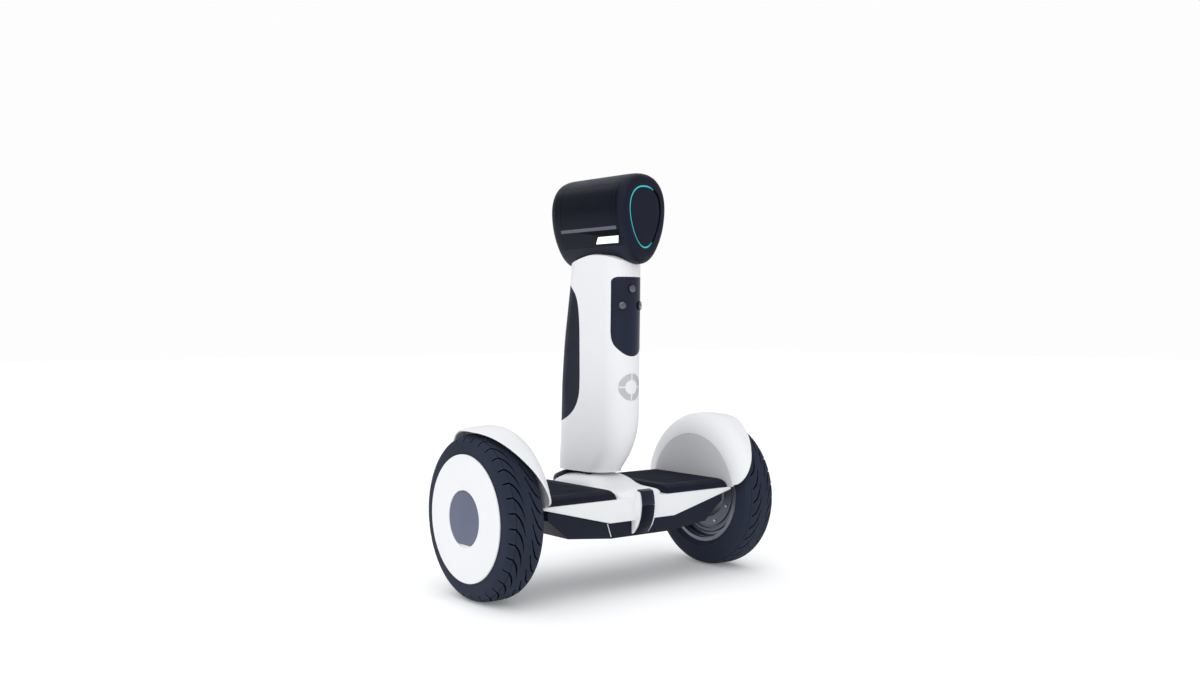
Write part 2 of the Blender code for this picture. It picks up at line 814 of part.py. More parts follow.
def shield(half, low, high, point):
    """Outline of the sensor window: straight sides, a swept lower edge coming to a round point."""
    corner = 0.012
    return mirrored_x(
        [
            (half * 0.30, low + point * 0.05),
            (half * 0.75, low + point * 0.45),
            (half, low + point),
            (half, high - corner),
            (half - corner * 0.12, high - corner * 0.5),
            (half - corner * 0.5, high - corner * 0.12),
            (half - corner, high),
        ]
    )


def panel_outline(grow):
    """Side view of the back panel: its front boundary, then far behind the column."""
    behind = 0.150
    return [
        (behind, 0.263 - grow),
        (0.0930, 0.264 - grow),
        (0.0640, 0.272 - grow),
        (0.0420, 0.287 - grow),
        (0.0290, 0.308),
        (0.0260 - grow, 0.330),
        (0.0260 - grow, 0.440),
        (0.0310 - grow, 0.478 + grow),
        (0.0450, 0.497 + grow),
        (0.0780, 0.511 + grow),
        (behind, 0.512 + grow),
    ]


def recess(shell, outline, axis, low, high):
    """Cuts the outline into the shell to the depth of a skin piece and its clearance."""
    bottom, top = outline_span(outline)
    pocket = prism("pocket", outline, axis, low, high)
    core = column_solid("core", SKIN + GAP, bottom, top)
    cut(pocket, core)
    cut(shell, pocket)


def ring_outline(radius, height, steps=32):
    return [
        (radius * math.cos(2 * math.pi * i / steps), height + radius * math.sin(2 * math.pi * i / steps))
        for i in range(steps)
    ]


def dome(name, profile, lift, centre_y, foot):
    """The space under a dome about an upright axis, down to the foot level."""
    reach = profile[-1][0]
    outline = [(radius, height + lift) for radius, height in profile]
    solid = turned(name, outline + [(reach, foot), (0.0, foot)], (0, 0, 0), 1, None, 48)
    solid.data.transform(Matrix.Translation((0, centre_y, 0)) @ Matrix.Rotation(-math.pi / 2, 4, "Y"))
    return solid


def crowned(shell):
    """Gives the column its domed top, which the head turns over."""
    foot = COLUMN_BOTTOM_Z - 0.020
    wide = CROWN_AXIS + [(0.130, 0.5150)]
    rear = CROWN_REAR + [(0.140, 0.5150)]
    boolean(shell, dome("crown", wide, 0.0, NECK_Y, foot), "INTERSECT")
    return boolean(shell, dome("crown_rear", rear, 0.0, CROWN_REAR_Y, foot), "INTERSECT")


def build_column():
    shell = column_solid("column_shell", 0.0, COLUMN_BOTTOM_Z, COLUMN_TOP_Z, WHITE)
    recess(shell, panel_outline(GAP), "X", -0.080, 0.080)
    window_grown = shield(WINDOW_HALF + GAP, WINDOW_LOW_Z - GAP, WINDOW_TOP_Z + GAP, 0.026)
    recess(shell, window_grown, "Y", -0.120, -0.020)
    recess(shell, ring_outline(SPEAKER_OUTER + GAP, SPEAKER_Z), "Y", -0.120, -0.020)
    hollow = column_solid("column_hollow", COLUMN_WALL + SKIN, 0.196, 0.524)
    post_hole = cylinder("post_hole", 0.0160, 0.150, 0.210, "Z", (0, POST_Y, 0))
    neck_hole = cylinder("neck_hole", 0.0125, 0.500, 0.580, "Z", (0, NECK_Y, 0))
    cut(shell, hollow, post_hole, neck_hole)
    crowned(shell)
    smooth(shell, 30)

    window = shield(WINDOW_HALF, WINDOW_LOW_Z, WINDOW_TOP_Z, 0.026)
    smooth(skin_piece("sensor_window", window, "Y", -0.120, -0.020, GLOSS), 30)
    smooth(skin_piece("back_panel", panel_outline(0.0), "X", -0.080, 0.080, BLACK), 30)
    disc = ring_outline(SPEAKER_OUTER, SPEAKER_Z)
    smooth(skin_piece("speaker_grille", disc, "Y", -0.120, -0.020, PANEL_GREY), 30)

    cylinder("speaker_driver", 0.0180, -0.0520, -0.0400, "Y", (0, 0, SPEAKER_Z), BLACK)
    box("column_board", (-0.0220, 0.0100, 0.2300), (0.0220, 0.0118, 0.4600), BOARD)
    lenses = ((-0.0020, 0.4925, "centre"), (0.0178, 0.465, "left"), (-0.0178, 0.465, "right"))
    for x, z, name in lenses:
        build_lens(f"camera_lens_{name}", x, z)

    tilt_clear = POST_Y
    post = cylinder("steering_post", 0.0130, PIVOT_Z, 0.2900, "Z", (0, tilt_clear, 0), ALUMINIUM)
    knuckle = cylinder("knuckle", 0.0170, 0.0300, 0.0620, "Y", (0, 0, PIVOT_Z), None, 32)
    join(post, knuckle)
    cut(post, cylinder("eye", 0.0063, 0.0, 0.120, "Y", (0, 0, PIVOT_Z), None, 24))
    collar = cylinder("collar", 0.0158, 0.1960, 0.2060, "Z", (0, tilt_clear, 0), None, 32)
    join(post, collar)
    smooth(post)

    motor = cylinder("yaw_motor", 0.0240, 0.4700, 0.5200, "Z", (0, NECK_Y, 0), STEEL)
    cut(motor, cylinder("motor_bore", 0.0053, 0.490, 0.540, "Z", (0, NECK_Y, 0), None, 24))


def build_lens(name, x, z):
    """A low dome standing on the window's curved face, turned to face outwards."""
    sine = x / COLUMN_FRONT_RADIUS
    angle = math.asin(sine)
    front = along_points(z, COLUMN_FRONT)
    surface = Vector((x, front + COLUMN_FRONT_RADIUS * (1 - math.cos(angle)), z))
    normal = Vector((sine, -math.cos(angle), 0.0))
    lift = GAP + 0.0009
    dome = turned(
        name,
        [(0.0, 0.0022), (0.0030, 0.0020), (0.0058, 0.0012), (LENS_RADIUS, 0.0), (0.0, 0.0)],
        (0, 0, 0),
        1,
        GLOSS,
        24,
    )
    spin = Vector((1, 0, 0)).rotation_difference(normal).to_matrix().to_4x4()
    dome.data.transform(Matrix.Translation(surface + normal * lift) @ spin)


# ---------------------------------------------------------------- head


def head_ring(share, inset, end_inset, steps=36):
    """Egg-shaped section across the ear-to-ear axis, at a share of the half length from the middle."""
    reach = HEAD_HALF_Y - end_inset
    scale = max(0.0, 1 - abs(share) ** HEAD_END_ROUND) ** (1 / HEAD_END_ROUND)
    points = []
    for i in range(steps):
        angle = 2 * math.pi * i / steps
        across = (HEAD_HALF_X * (1 + HEAD_EGG * math.sin(angle))) * signed_power(math.cos(angle), HEAD_ROUND)
        up = HEAD_HALF_Z * signed_power(math.sin(angle), HEAD_ROUND)
        length = math.hypot(across, up)
        shrink = (length - inset) / length * scale
        points.append((across * shrink, reach * share, HEAD_Z + up * shrink))
    return points


HEAD_SHARES = [0.0, 0.50, 0.80, 0.90, 0.95, 0.975, 0.990, 0.998]
HEAD_END_Y = HEAD_HALF_Y * HEAD_SHARES[-1]


def head_solid(name, inset, end_inset=None, spec=None):
    shares = [-share for share in HEAD_SHARES[:0:-1]] + HEAD_SHARES
    deep = inset if end_inset is None else end_inset
    return loft(name, [head_ring(share, inset, deep) for share in shares], spec)


def ear_outline(grow, steps=40):
    """The light ring's middle line on the ear, moved outwards by the growth."""
    points = []
    for i in range(steps):
        angle = 2 * math.pi * (i + 0.5) / steps
        half = (EAR_HALF_X + grow) * (1 + EAR_EGG * math.sin(angle))
        across = half * signed_power(math.cos(angle), EAR_ROUND)
        points.append((across, EAR_Z + (EAR_HALF_Z + grow) * math.sin(angle)))
    return points


def mouth_cutters():
    """The column's dome with its clearance, as the head meets it level and pitched up."""
    cutters = []
    for pitch in (0.0, 6.0, 12.5):
        mouth = dome(f"mouth_{pitch:.0f}", CROWN_AXIS, MOUTH_CLEARANCE, 0.0, 0.480)
        about = Matrix.Translation((0, 0, HEAD_Z))
        turn = Matrix.Rotation(-math.radians(pitch), 4, "Y")
        mouth.data.transform(about @ turn @ about.inverted())
        cutters.append(mouth)
    return cutters


def build_head():
    shell = head_solid("head_shell", 0.0, 0.0, BLACK)
    hollow = head_solid("head_hollow", HEAD_WALL, HEAD_END_WALL)
    cut(shell, *mouth_cutters())
    cut(shell, hollow)
    merged(shell)


def build_ears():
    """On each ear, a light ring around a cap, in a seat cut into the head's end."""
    shell = bpy.data.objects["head_shell"]
    for side, name in ((1, "left"), (-1, "right")):
        low, high = sorted((side * (HEAD_END_Y - 0.0062), side * 0.120))
        cut(shell, prism("ear_seat", ear_outline(RING_HALF + GAP), "Y", low, high))
        seat = HEAD_END_Y - 0.0059
        low, high = sorted((side * seat, side * (HEAD_END_Y - 0.0003)))
        cap = prism(f"ear_cap_{name}", ear_outline(-RING_HALF - GAP), "Y", low, high, BLACK, 0.0012, 2)
        smooth(cap)
        low, high = sorted((side * seat, side * (HEAD_END_Y - 0.0008)))
        ring = prism(f"light_ring_{name}", ear_outline(RING_HALF), "Y", low, high, TEAL)
        cut(ring, prism("ring_hole", ear_outline(-RING_HALF), "Y", -0.2, 0.2))
        smooth(ring)
    smooth(shell, 40)


def build_face():
    """The glossy face: a bent strip in a recess of the shell, with a small window below it."""
    plate_y = FACE_HALF_Y
    outline = [(-plate_y, 0.5630), (plate_y, 0.5630), (plate_y, 0.6640), (-plate_y, 0.6640)]
    limit = prism("face_limit", outline, "X", -0.090, -0.020)
    face = head_solid("face_panel", 0.0, 0.0, GLOSS)
    cut(face, head_solid("face_core", 0.0020, 0.0))
    boolean(face, limit, "INTERSECT")
    grown = [(math.copysign(abs(y) + GAP, y), z + math.copysign(GAP, z - HEAD_Z)) for y, z in outline]
    pocket = prism("face_pocket", grown, "X", -0.090, -0.020)
    cut(pocket, head_solid("face_core", 0.0020 + GAP, 0.0))
    cut(bpy.data.objects["head_shell"], pocket)
    smooth(face, 30)
    board_x = -0.0350
    box("head_board", (board_x, -0.0550, 0.5850), (board_x + 0.0016, 0.0550, 0.6450), BOARD)


def build_neck():
    yoke = cylinder("neck_yoke", 0.0050, 0.4950, 0.5300, "Z", (0, 0, 0), ALUMINIUM, 24)
    stalk = cylinder("stalk", 0.0110, 0.5250, HEAD_Z, "Z", (0, 0, 0), None, 28)
    cross = cylinder("cross", 0.0120, -0.0250, 0.0250, "Y", (0, 0, HEAD_Z), None, 28)
    join(yoke, stalk, cross)
    cut(yoke, cylinder("pitch_bore", 0.0053, -0.1, 0.1, "Y", (0, 0, HEAD_Z), None, 24))
    smooth(yoke, 30)
    pin_end = (HEAD_HALF_Y - HEAD_END_WALL) * HEAD_SHARES[-1] - GAP
    cylinder("pitch_pin", 0.0050, -pin_end, pin_end, "Y", (0, 0, HEAD_Z), STEEL, 24)


HEAD_PARTS = [
    "head_shell",
    "face_panel",
    "head_board",
    "ear_cap_left",
    "ear_cap_right",
    "light_ring_left",
    "light_ring_right",
    "neck_yoke",
    "pitch_pin",
]


def place_head():
    """Turns the finished head and its neck to their resting direction over the column."""
    turn = Matrix.Rotation(math.radians(HEAD_TURN_DEG), 4, "Z")
    for name in HEAD_PARTS:
        bpy.data.objects[name].data.transform(Matrix.Translation((0, NECK_Y, 0)) @ turn)


def clear_scene():
    for obj in list(bpy.data.objects):
        bpy.data.objects.remove(obj)


def main():
    clear_scene()
    new_collection(COLLECTION)
    new_collection(CUTTERS, hidden=True)
    for side, name in ((1, "left"), (-1, "right")):
        build_wheel(side, name)
        build_fender(side, name)
    build_tray()
    build_top_cover()
    build_front_lenses()
    build_footpads()
    build_inside_base()
    build_rear()
    build_pivot()
    build_column()
    build_head()
    build_face()
    build_ears()
    build_neck()
    place_head()


main()
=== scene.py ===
"""Two-wheeled robot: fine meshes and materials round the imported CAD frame. Metres, +Z up, -Y front."""

import math

import bmesh
import bpy
import numpy as np
from mathutils import Matrix, Vector


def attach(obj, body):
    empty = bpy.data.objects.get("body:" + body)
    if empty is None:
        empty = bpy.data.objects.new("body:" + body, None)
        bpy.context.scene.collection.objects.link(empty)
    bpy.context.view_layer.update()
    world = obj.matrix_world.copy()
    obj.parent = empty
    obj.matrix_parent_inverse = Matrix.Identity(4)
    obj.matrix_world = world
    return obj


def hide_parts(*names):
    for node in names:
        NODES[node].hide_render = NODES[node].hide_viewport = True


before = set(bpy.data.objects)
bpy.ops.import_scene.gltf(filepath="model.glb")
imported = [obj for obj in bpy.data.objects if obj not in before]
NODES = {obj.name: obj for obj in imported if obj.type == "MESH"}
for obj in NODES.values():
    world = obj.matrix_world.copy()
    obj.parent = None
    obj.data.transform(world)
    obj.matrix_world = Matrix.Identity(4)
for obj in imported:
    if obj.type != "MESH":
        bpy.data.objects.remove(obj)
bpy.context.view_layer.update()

# ---------------------------------------------------------------- camera and light

CAMERA_PLACE = Vector((-1.232036, -1.575961, 0.430127))
CAMERA_LOOK = Vector((0.611668, 0.791061, -0.009234))
CAMERA_LENS_MM = 35.326
CAMERA_SENSOR_MM = 36.0
AMBIENT = 0.62
BACKDROP = 0.985
FLOOR_HALF = 14.0
VIEW_END = 60.0
KEY_STRENGTH = 1.05
TOP_STRENGTH = 0.75


def sun_light(name, direction, angle_deg, strength):
    """A broad soft light from far away; the direction points towards it."""
    data = bpy.data.lights.new(name, "SUN")
    data.angle = math.radians(angle_deg)
    data.energy = strength
    lamp = bpy.data.objects.new(name, data)
    lamp.rotation_euler = (-Vector(direction)).to_track_quat("-Z", "Y").to_euler()
    bpy.context.scene.collection.objects.link(lamp)


def build_studio():
    """The photo's camera, a white surround that lights less than it shows, two soft lamps and a floor."""
    data = bpy.data.cameras.new("photo_camera")
    data.sensor_width = CAMERA_SENSOR_MM
    data.lens = CAMERA_LENS_MM
    data.clip_end = VIEW_END
    camera = bpy.data.objects.new("photo_camera", data)
    camera.location = CAMERA_PLACE
    camera.rotation_euler = CAMERA_LOOK.to_track_quat("-Z", "Y").to_euler()
    bpy.context.scene.collection.objects.link(camera)
    bpy.context.scene.camera = camera

    world = bpy.data.worlds.new("studio")
    bpy.context.scene.world = world
    world.use_nodes = True
    tree = world.node_tree
    backdrop = tree.nodes["Background"]
    backdrop.inputs["Color"].default_value = (1.0, 1.0, 1.0, 1.0)
    backdrop.inputs["Strength"].default_value = BACKDROP
    glow = tree.nodes.new("ShaderNodeBackground")
    glow.inputs["Color"].default_value = (0.96, 0.975, 1.0, 1.0)
    glow.inputs["Strength"].default_value = AMBIENT
    path = tree.nodes.new("ShaderNodeLightPath")
    either = tree.nodes.new("ShaderNodeMixShader")
    tree.links.new(path.outputs["Is Camera Ray"], either.inputs["Fac"])
    tree.links.new(glow.outputs["Background"], either.inputs[1])
    tree.links.new(backdrop.outputs["Background"], either.inputs[2])
    tree.links.new(either.outputs["Shader"], tree.nodes["World Output"].inputs["Surface"])
    bpy.context.scene.view_settings.view_transform = "Standard"

    sun_light("key", (-0.75, -0.60, 0.85), 70.0, KEY_STRENGTH)
    sun_light("top", (0.15, 0.40, 1.0), 90.0, TOP_STRENGTH)

    bm = bmesh.new()
    bmesh.ops.create_grid(bm, x_segments=2, y_segments=2, size=FLOOR_HALF)
    floor = mesh_object("floor", bm)
    floor.data.materials.append(floor_material())


# ---------------------------------------------------------------- materials

DARK_BELOW = 0.06
DARK_GLOSS_TINT = (0.62, 0.74, 1.0, 1.0)
SMOOTH_WHITE = dict(grain=1400.0, grain_depth=0.00004, spread=0.012)
SLEEK = dict(grain=500.0, grain_depth=0.00001, spread=0.1)


def node_material(name):
    made = bpy.data.materials.new(name)
    made.use_nodes = True
    tree = made.node_tree
    return made, tree, tree.nodes["Principled BSDF"]


def noise(tree, scale, detail=3.0, roughness=0.55):
    place = tree.nodes.new("ShaderNodeTexCoord")
    node = tree.nodes.new("ShaderNodeTexNoise")
    node.inputs["Scale"].default_value = scale
    node.inputs["Detail"].default_value = detail
    node.inputs["Roughness"].default_value = roughness
    tree.links.new(place.outputs["Object"], node.inputs["Vector"])
    return node.outputs["Fac"]


def mapped(tree, value, low, high, from_low=0.3, from_high=0.7):
    node = tree.nodes.new("ShaderNodeMapRange")
    node.inputs["From Min"].default_value = from_low
    node.inputs["From Max"].default_value = from_high
    node.inputs["To Min"].default_value = low
    node.inputs["To Max"].default_value = high
    tree.links.new(value, node.inputs["Value"])
    return node.outputs["Result"]


def mixed(tree, share, first, second):
    node = tree.nodes.new("ShaderNodeMix")
    node.data_type = "RGBA"
    tree.links.new(share, node.inputs["Factor"])
    for socket, colour in ((node.inputs[6], first), (node.inputs[7], second)):
        if isinstance(colour, tuple):
            socket.default_value = (*colour, 1.0)
        else:
            tree.links.new(colour, socket)
    return node.outputs[2]


def bumped(tree, height, strength, distance, under=None):
    node = tree.nodes.new("ShaderNodeBump")
    node.inputs["Strength"].default_value = strength
    node.inputs["Distance"].default_value = distance
    tree.links.new(height, node.inputs["Height"])
    if under:
        tree.links.new(under, node.inputs["Normal"])
    return node.outputs["Normal"]


def shade(colour, factor):
    return tuple(min(1.0, c * factor) for c in colour)


def moulded(name, colour, rough, grain, grain_depth, spread=0.06, painted_edge_highlight=None, coat=0.0, specular=0.5):
    """Moulded or painted surface: cloudy colour, uneven gloss, fine grain, optional paler edges as a painted
    highlight.
    """
    made, tree, shader = node_material(name)
    cloud = mapped(tree, noise(tree, 9.0), 0, 1)
    tint = mixed(tree, cloud, shade(colour, 1 - spread), shade(colour, 1 + spread))
    speck = mapped(tree, noise(tree, 420.0, 2.0), 0, 1, 0.45, 0.75)
    tint = mixed(tree, mapped(tree, speck, 0, 0.35, 0, 1), tint, shade(colour, 1 - 2 * spread))
    if painted_edge_highlight:
        # Painted highlight: sharp convex edges are lightened towards the given colour, as if they caught the
        # light.
        geometry = tree.nodes.new("ShaderNodeNewGeometry")
        edge = mapped(tree, geometry.outputs["Pointiness"], 0.0, 0.7, 0.52, 0.60)
        tint = mixed(tree, edge, tint, painted_edge_highlight)
    tree.links.new(tint, shader.inputs["Base Color"])
    gloss = mapped(tree, noise(tree, 26.0, 4.0), rough - 0.05, rough + 0.07)
    tree.links.new(gloss, shader.inputs["Roughness"])
    fine = bumped(tree, noise(tree, grain, 2.0), 0.35, grain_depth)
    tree.links.new(fine, shader.inputs["Normal"])
    shader.inputs["Specular IOR Level"].default_value = specular
    if max(colour) < DARK_BELOW:
        shader.inputs["Specular Tint"].default_value = DARK_GLOSS_TINT
    shader.inputs["Coat Weight"].default_value = coat
    shader.inputs["Coat Roughness"].default_value = 0.08
    return made


def brushed(name, colour, rough, scale):
    """Turned or brushed metal: fine streaks stretched along the axes that the scale keeps low, with mild
    tarnish.
    """
    made, tree, shader = node_material(name)
    place = tree.nodes.new("ShaderNodeTexCoord")
    stretch = tree.nodes.new("ShaderNodeMapping")
    stretch.inputs["Scale"].default_value = scale
    tree.links.new(place.outputs["Object"], stretch.inputs["Vector"])
    streak = tree.nodes.new("ShaderNodeTexNoise")
    streak.inputs["Scale"].default_value = 60.0
    streak.inputs["Detail"].default_value = 4.0
    tree.links.new(stretch.outputs["Vector"], streak.inputs["Vector"])
    value = streak.outputs["Fac"]
    tint = mixed(tree, mapped(tree, value, 0, 1), shade(colour, 0.88), shade(colour, 1.08))
    tint = mixed(tree, mapped(tree, noise(tree, 14.0), 0, 0.3), tint, shade(colour, 0.7))
    tree.links.new(tint, shader.inputs["Base Color"])
    tree.links.new(mapped(tree, value, rough - 0.06, rough + 0.1), shader.inputs["Roughness"])
    tree.links.new(bumped(tree, value, 0.15, 0.0001), shader.inputs["Normal"])
    shader.inputs["Metallic"].default_value = 1.0
    return made


def lit(name, colour, strength):
    """A glowing surface, a little uneven along its length: the ear's light guide really glows, while the face
    window's glow is painted light.
    """
    made, tree, shader = node_material(name)
    tint = mixed(tree, mapped(tree, noise(tree, 30.0), 0, 1), shade(colour, 0.85), shade(colour, 1.1))
    tree.links.new(tint, shader.inputs["Base Color"])
    tree.links.new(tint, shader.inputs["Emission Color"])
    shader.inputs["Emission Strength"].default_value = strength
    tree.links.new(mapped(tree, noise(tree, 60.0), 0.25, 0.4), shader.inputs["Roughness"])
    tree.links.new(bumped(tree, noise(tree, 900.0), 0.2, 0.0001), shader.inputs["Normal"])
    return made


def floor_material():
    made, tree, shader = node_material("studio_floor")
    tint = mixed(tree, mapped(tree, noise(tree, 2.0), 0, 1), (0.955, 0.955, 0.96), (0.97, 0.97, 0.972))
    tree.links.new(tint, shader.inputs["Base Color"])
    shader.inputs["Roughness"].default_value = 0.9
    shader.inputs["Specular IOR Level"].default_value = 0.0
    shader.inputs["Emission Color"].default_value = (0.97, 0.985, 1.0, 1.0)
    shader.inputs["Emission Strength"].default_value = 0.14
    return made


def build_materials():
    turned_streaks = (1.0, 6.0, 6.0)
    return {
        "white": moulded("white_shell", (0.83, 0.835, 0.85), 0.40, specular=0.35, **SMOOTH_WHITE),
        "cap": moulded("wheel_cap_white", (0.85, 0.855, 0.87), 0.45, specular=0.3, **SMOOTH_WHITE),
        # Grey for the speaker slats and button ring; on the fenders' inner panels this grey is painted shade
        # of a wall turned away from the light.
        "panel": moulded("panel_grey", (0.60, 0.60, 0.615), 0.6, 900.0, 0.00008, 0.03, specular=0.3),
        "black": moulded(
            "black_plastic",
            (0.0065, 0.0078, 0.0165),
            0.48,
            1500.0,
            0.00014,
            0.12,
            # Paler edges below are a painted edge highlight.
            painted_edge_highlight=(0.02, 0.022, 0.032),
            specular=0.22,
        ),
        "gloss": moulded("gloss_black", (0.0030, 0.0036, 0.0085), 0.24, specular=0.13, **SLEEK),
        # Near-black matte strip in the face's slot: painted shade of the gap, darker than the gloss black
        # around it.
        "slot": moulded("face_slot_painted_shade", (0.0012, 0.0014, 0.0030), 0.30, specular=0.06, **SLEEK),
        "motor": brushed("motor_end", (0.17, 0.18, 0.215), 0.45, turned_streaks),
        "glass": moulded("window_glass", (0.0120, 0.0135, 0.0260), 0.26, specular=0.28, **SLEEK),
        "rubber": moulded(
            "pad_rubber",
            (0.0080, 0.0092, 0.0185),
            0.75,
            1100.0,
            0.00018,
            0.15,
            painted_edge_highlight=(0.02, 0.022, 0.03),
            specular=0.18,
        ),
        "tyre": moulded(
            "tyre_rubber",
            (0.0215, 0.0260, 0.0440),
            0.70,
            800.0,
            0.00022,
            0.14,
            painted_edge_highlight=(0.045, 0.050, 0.068),
            specular=0.20,
        ),
        # Near-black for the floors of the tread's grooves: painted shade in the grooves, on the same rubber
        # as the tyre.
        "groove": moulded("tread_groove_painted_shade", (0.0035, 0.004, 0.0075), 0.85, 800.0, 0.0001, 0.1, specular=0.05),
        "silver": brushed("cast_aluminium", (0.24, 0.25, 0.30), 0.42, turned_streaks),
        "steel": brushed("steel", (0.50, 0.50, 0.53), 0.3, (6.0, 1.0, 1.0)),
        "slate": brushed("slate_badge", (0.16, 0.175, 0.25), 0.40, (1.0, 1.0, 8.0)),
        "board": moulded("circuit_board", (0.03, 0.16, 0.07), 0.5, 300.0, 0.0001, 0.15),
        "wrap": moulded("battery_wrap", (0.05, 0.12, 0.3), 0.45, 200.0, 0.0002, 0.1),
        "teal": lit("teal_light", (0.022, 0.33, 0.37), 0.85),
        # Light grey strip along the slot's top lip: a painted highlight, not the face's own colour.
        "bar": moulded("face_bar_painted_highlight", (0.10, 0.105, 0.14), 0.4, 500.0, 0.00002, 0.1, specular=0.3),
        # White patch in the face given its own glow though it is no lamp: painted light.
        "lamp": lit("face_window_painted_glow", (0.95, 0.95, 0.96), 1.0),
        "lens": moulded("lens_glass", (0.055, 0.06, 0.085), 0.1, coat=1.0, **SLEEK),
        "bezel": moulded("lens_bezel", (0.015, 0.016, 0.025), 0.3, specular=0.3, **SLEEK),
        "red": moulded("rear_lamp", (0.35, 0.02, 0.02), 0.2, 300.0, 0.0001, 0.1, coat=0.8),
    }


# ---------------------------------------------------------------- mesh helpers


def mesh_object(name, bm):
    bmesh.ops.recalc_face_normals(bm, faces=bm.faces)
    mesh = bpy.data.meshes.new(name)
    bm.to_mesh(mesh)
    bm.free()
    obj = bpy.data.objects.new(name, mesh)
    bpy.context.scene.collection.objects.link(obj)
    return obj


def smooth(obj, degrees=35):
    obj.data.shade_smooth()
    obj.data.set_sharp_from_angle(angle=math.radians(degrees))
    return obj


def filled(points, faces):
    mesh = bpy.data.meshes.new("draft")
    mesh.from_pydata(points.tolist(), [], faces)
    bm = bmesh.new()
    bm.from_mesh(mesh)
    bpy.data.meshes.remove(mesh)
    return bm


def closed_loft(name, rings):
    """A closed solid through rings of equal length, given as arrays of points."""
    rows, count = len(rings), len(rings[0])
    points = np.asarray(rings, float).reshape(-1, 3)
    index = np.arange(rows * count).reshape(rows, count)
    after = np.roll(index, -1, axis=1)
    sides = np.stack([index[:-1], after[:-1], after[1:], index[1:]], axis=-1).reshape(-1, 4)
    faces = sides.tolist() + [index[0][::-1].tolist(), index[-1].tolist()]
    bm = filled(points, faces)
    ends = [face for face in bm.faces if len(face.verts) > 4]
    bmesh.ops.triangulate(bm, faces=ends)
    return mesh_object(name, bm)


def ring_solid(name, grid):
    """A closed ring: grid[i][j] goes round the axis with i and round the section with j."""
    rows, count = len(grid), len(grid[0])
    points = np.asarray(grid, float).reshape(-1, 3)
    index = np.arange(rows * count).reshape(rows, count)
    right = np.roll(index, -1, axis=1)
    down = np.roll(index, -1, axis=0)
    both = np.roll(down, -1, axis=1)
    faces = np.stack([index, right, both, down], axis=-1).reshape(-1, 4)
    return mesh_object(name, filled(points, faces.tolist()))


def turned_x(name, profile, centre, side, steps=128):
    """A solid of revolution about the axle.

    The profile lists (radius, distance outward), with both ends on the axis or as a closed ring.
    """
    profile = [(max(radius, 0.0), along) for radius, along in profile]
    on_axis = min(radius for radius, _ in profile) < 1e-6
    bm = bmesh.new()
    rings = []
    for radius, along in profile:
        if radius < 1e-6:
            rings.append([bm.verts.new((centre[0] + side * along, centre[1], centre[2]))])
            continue
        ring = []
        for i in range(steps):
            angle = 2 * math.pi * i / steps
            place = (centre[1] + radius * math.cos(angle), centre[2] + radius * math.sin(angle))
            ring.append(bm.verts.new((centre[0] + side * along, *place)))
        rings.append(ring)
    pairs = list(zip(rings, rings[1:]))
    if not on_axis:
        pairs.append((rings[-1], rings[0]))
    for first, second in pairs:
        for i in range(steps):
            j = (i + 1) % steps
            corner = [ring[k % len(ring)] for ring, k in ((first, i), (first, j), (second, j), (second, i))]
            unique = list(dict.fromkeys(corner))
            if len(unique) > 2:
                bm.faces.new(unique)
    return smooth(mesh_object(name, bm), 30)


def box_piece(name, low, high, bevel=0.0, segments=2):
    bm = bmesh.new()
    bmesh.ops.create_cube(bm, size=1.0)
    bmesh.ops.scale(bm, vec=Vector(high) - Vector(low), verts=bm.verts)
    bmesh.ops.translate(bm, vec=(Vector(low) + Vector(high)) / 2, verts=bm.verts)
    if bevel:
        bmesh.ops.bevel(bm, geom=bm.edges[:], offset=bevel, segments=segments, affect="EDGES", profile=0.5)
    return smooth(mesh_object(name, bm))


def disc_piece(name, radius, depth, place, direction, steps=32, bevel=0.0):
    """A short cylinder centred on the place, its axis along the direction."""
    bm = bmesh.new()
    bmesh.ops.create_cone(bm, cap_ends=True, segments=steps, radius1=radius, radius2=radius, depth=depth)
    if bevel:
        rims = [edge for edge in bm.edges if abs(edge.verts[0].co.z - edge.verts[1].co.z) < 1e-7]
        bmesh.ops.bevel(bm, geom=rims, offset=bevel, segments=2, affect="EDGES", profile=0.5)
    turn = Vector((0, 0, 1)).rotation_difference(Vector(direction)).to_matrix().to_4x4()
    bmesh.ops.transform(bm, matrix=Matrix.Translation(place) @ turn, verts=bm.verts)
    return smooth(mesh_object(name, bm))


def apply_modifiers(obj):
    graph = bpy.context.evaluated_depsgraph_get()
    graph.update()
    mesh = bpy.data.meshes.new_from_object(obj.evaluated_get(graph))
    obj.modifiers.clear()
    obj.data = mesh


def combined(obj, operation, other):
    """A boolean of two solids, applied at once; the other solid is used up."""
    modifier = obj.modifiers.new("solid", "BOOLEAN")
    modifier.operation = operation
    modifier.object = other
    apply_modifiers(obj)
    bpy.data.objects.remove(other)


def cut(obj, *cutters):
    for cutter in cutters:
        combined(obj, "DIFFERENCE", cutter)


def united(obj, other):
    combined(obj, "UNION", other)


def intersect(obj, other):
    combined(obj, "INTERSECT", other)


def dress(obj, look, body, slot, *replaced):
    """Gives a piece its material and the body it rides on, and hides the CAD nodes it replaces; the slot
    argument is not used.
    """
    obj.data.materials.clear()
    obj.data.materials.append(LOOKS[look])
    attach(obj, body)
    if replaced:
        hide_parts(*replaced)
    return obj


def finish_copy(node, look, body, slot, bevel=0.0, degrees=30):
    """A welded, smooth-shaded and edge-rounded copy that stands for a CAD node."""
    bm = bmesh.new()
    bm.from_mesh(NODES[node].data)
    bmesh.ops.remove_doubles(bm, verts=bm.verts, dist=0.00001)
    bmesh.ops.dissolve_limit(bm, angle_limit=math.radians(0.5), verts=bm.verts, edges=bm.edges)
    piece = smooth(mesh_object(node + "_finished", bm), degrees)
    if bevel:
        rounding = piece.modifiers.new("rounding", "BEVEL")
        rounding.width = bevel
        rounding.segments = 2
        rounding.limit_method = "ANGLE"
        rounding.angle_limit = math.radians(40)
        rounding.use_clamp_overlap = True
    return dress(piece, look, body, slot, node)


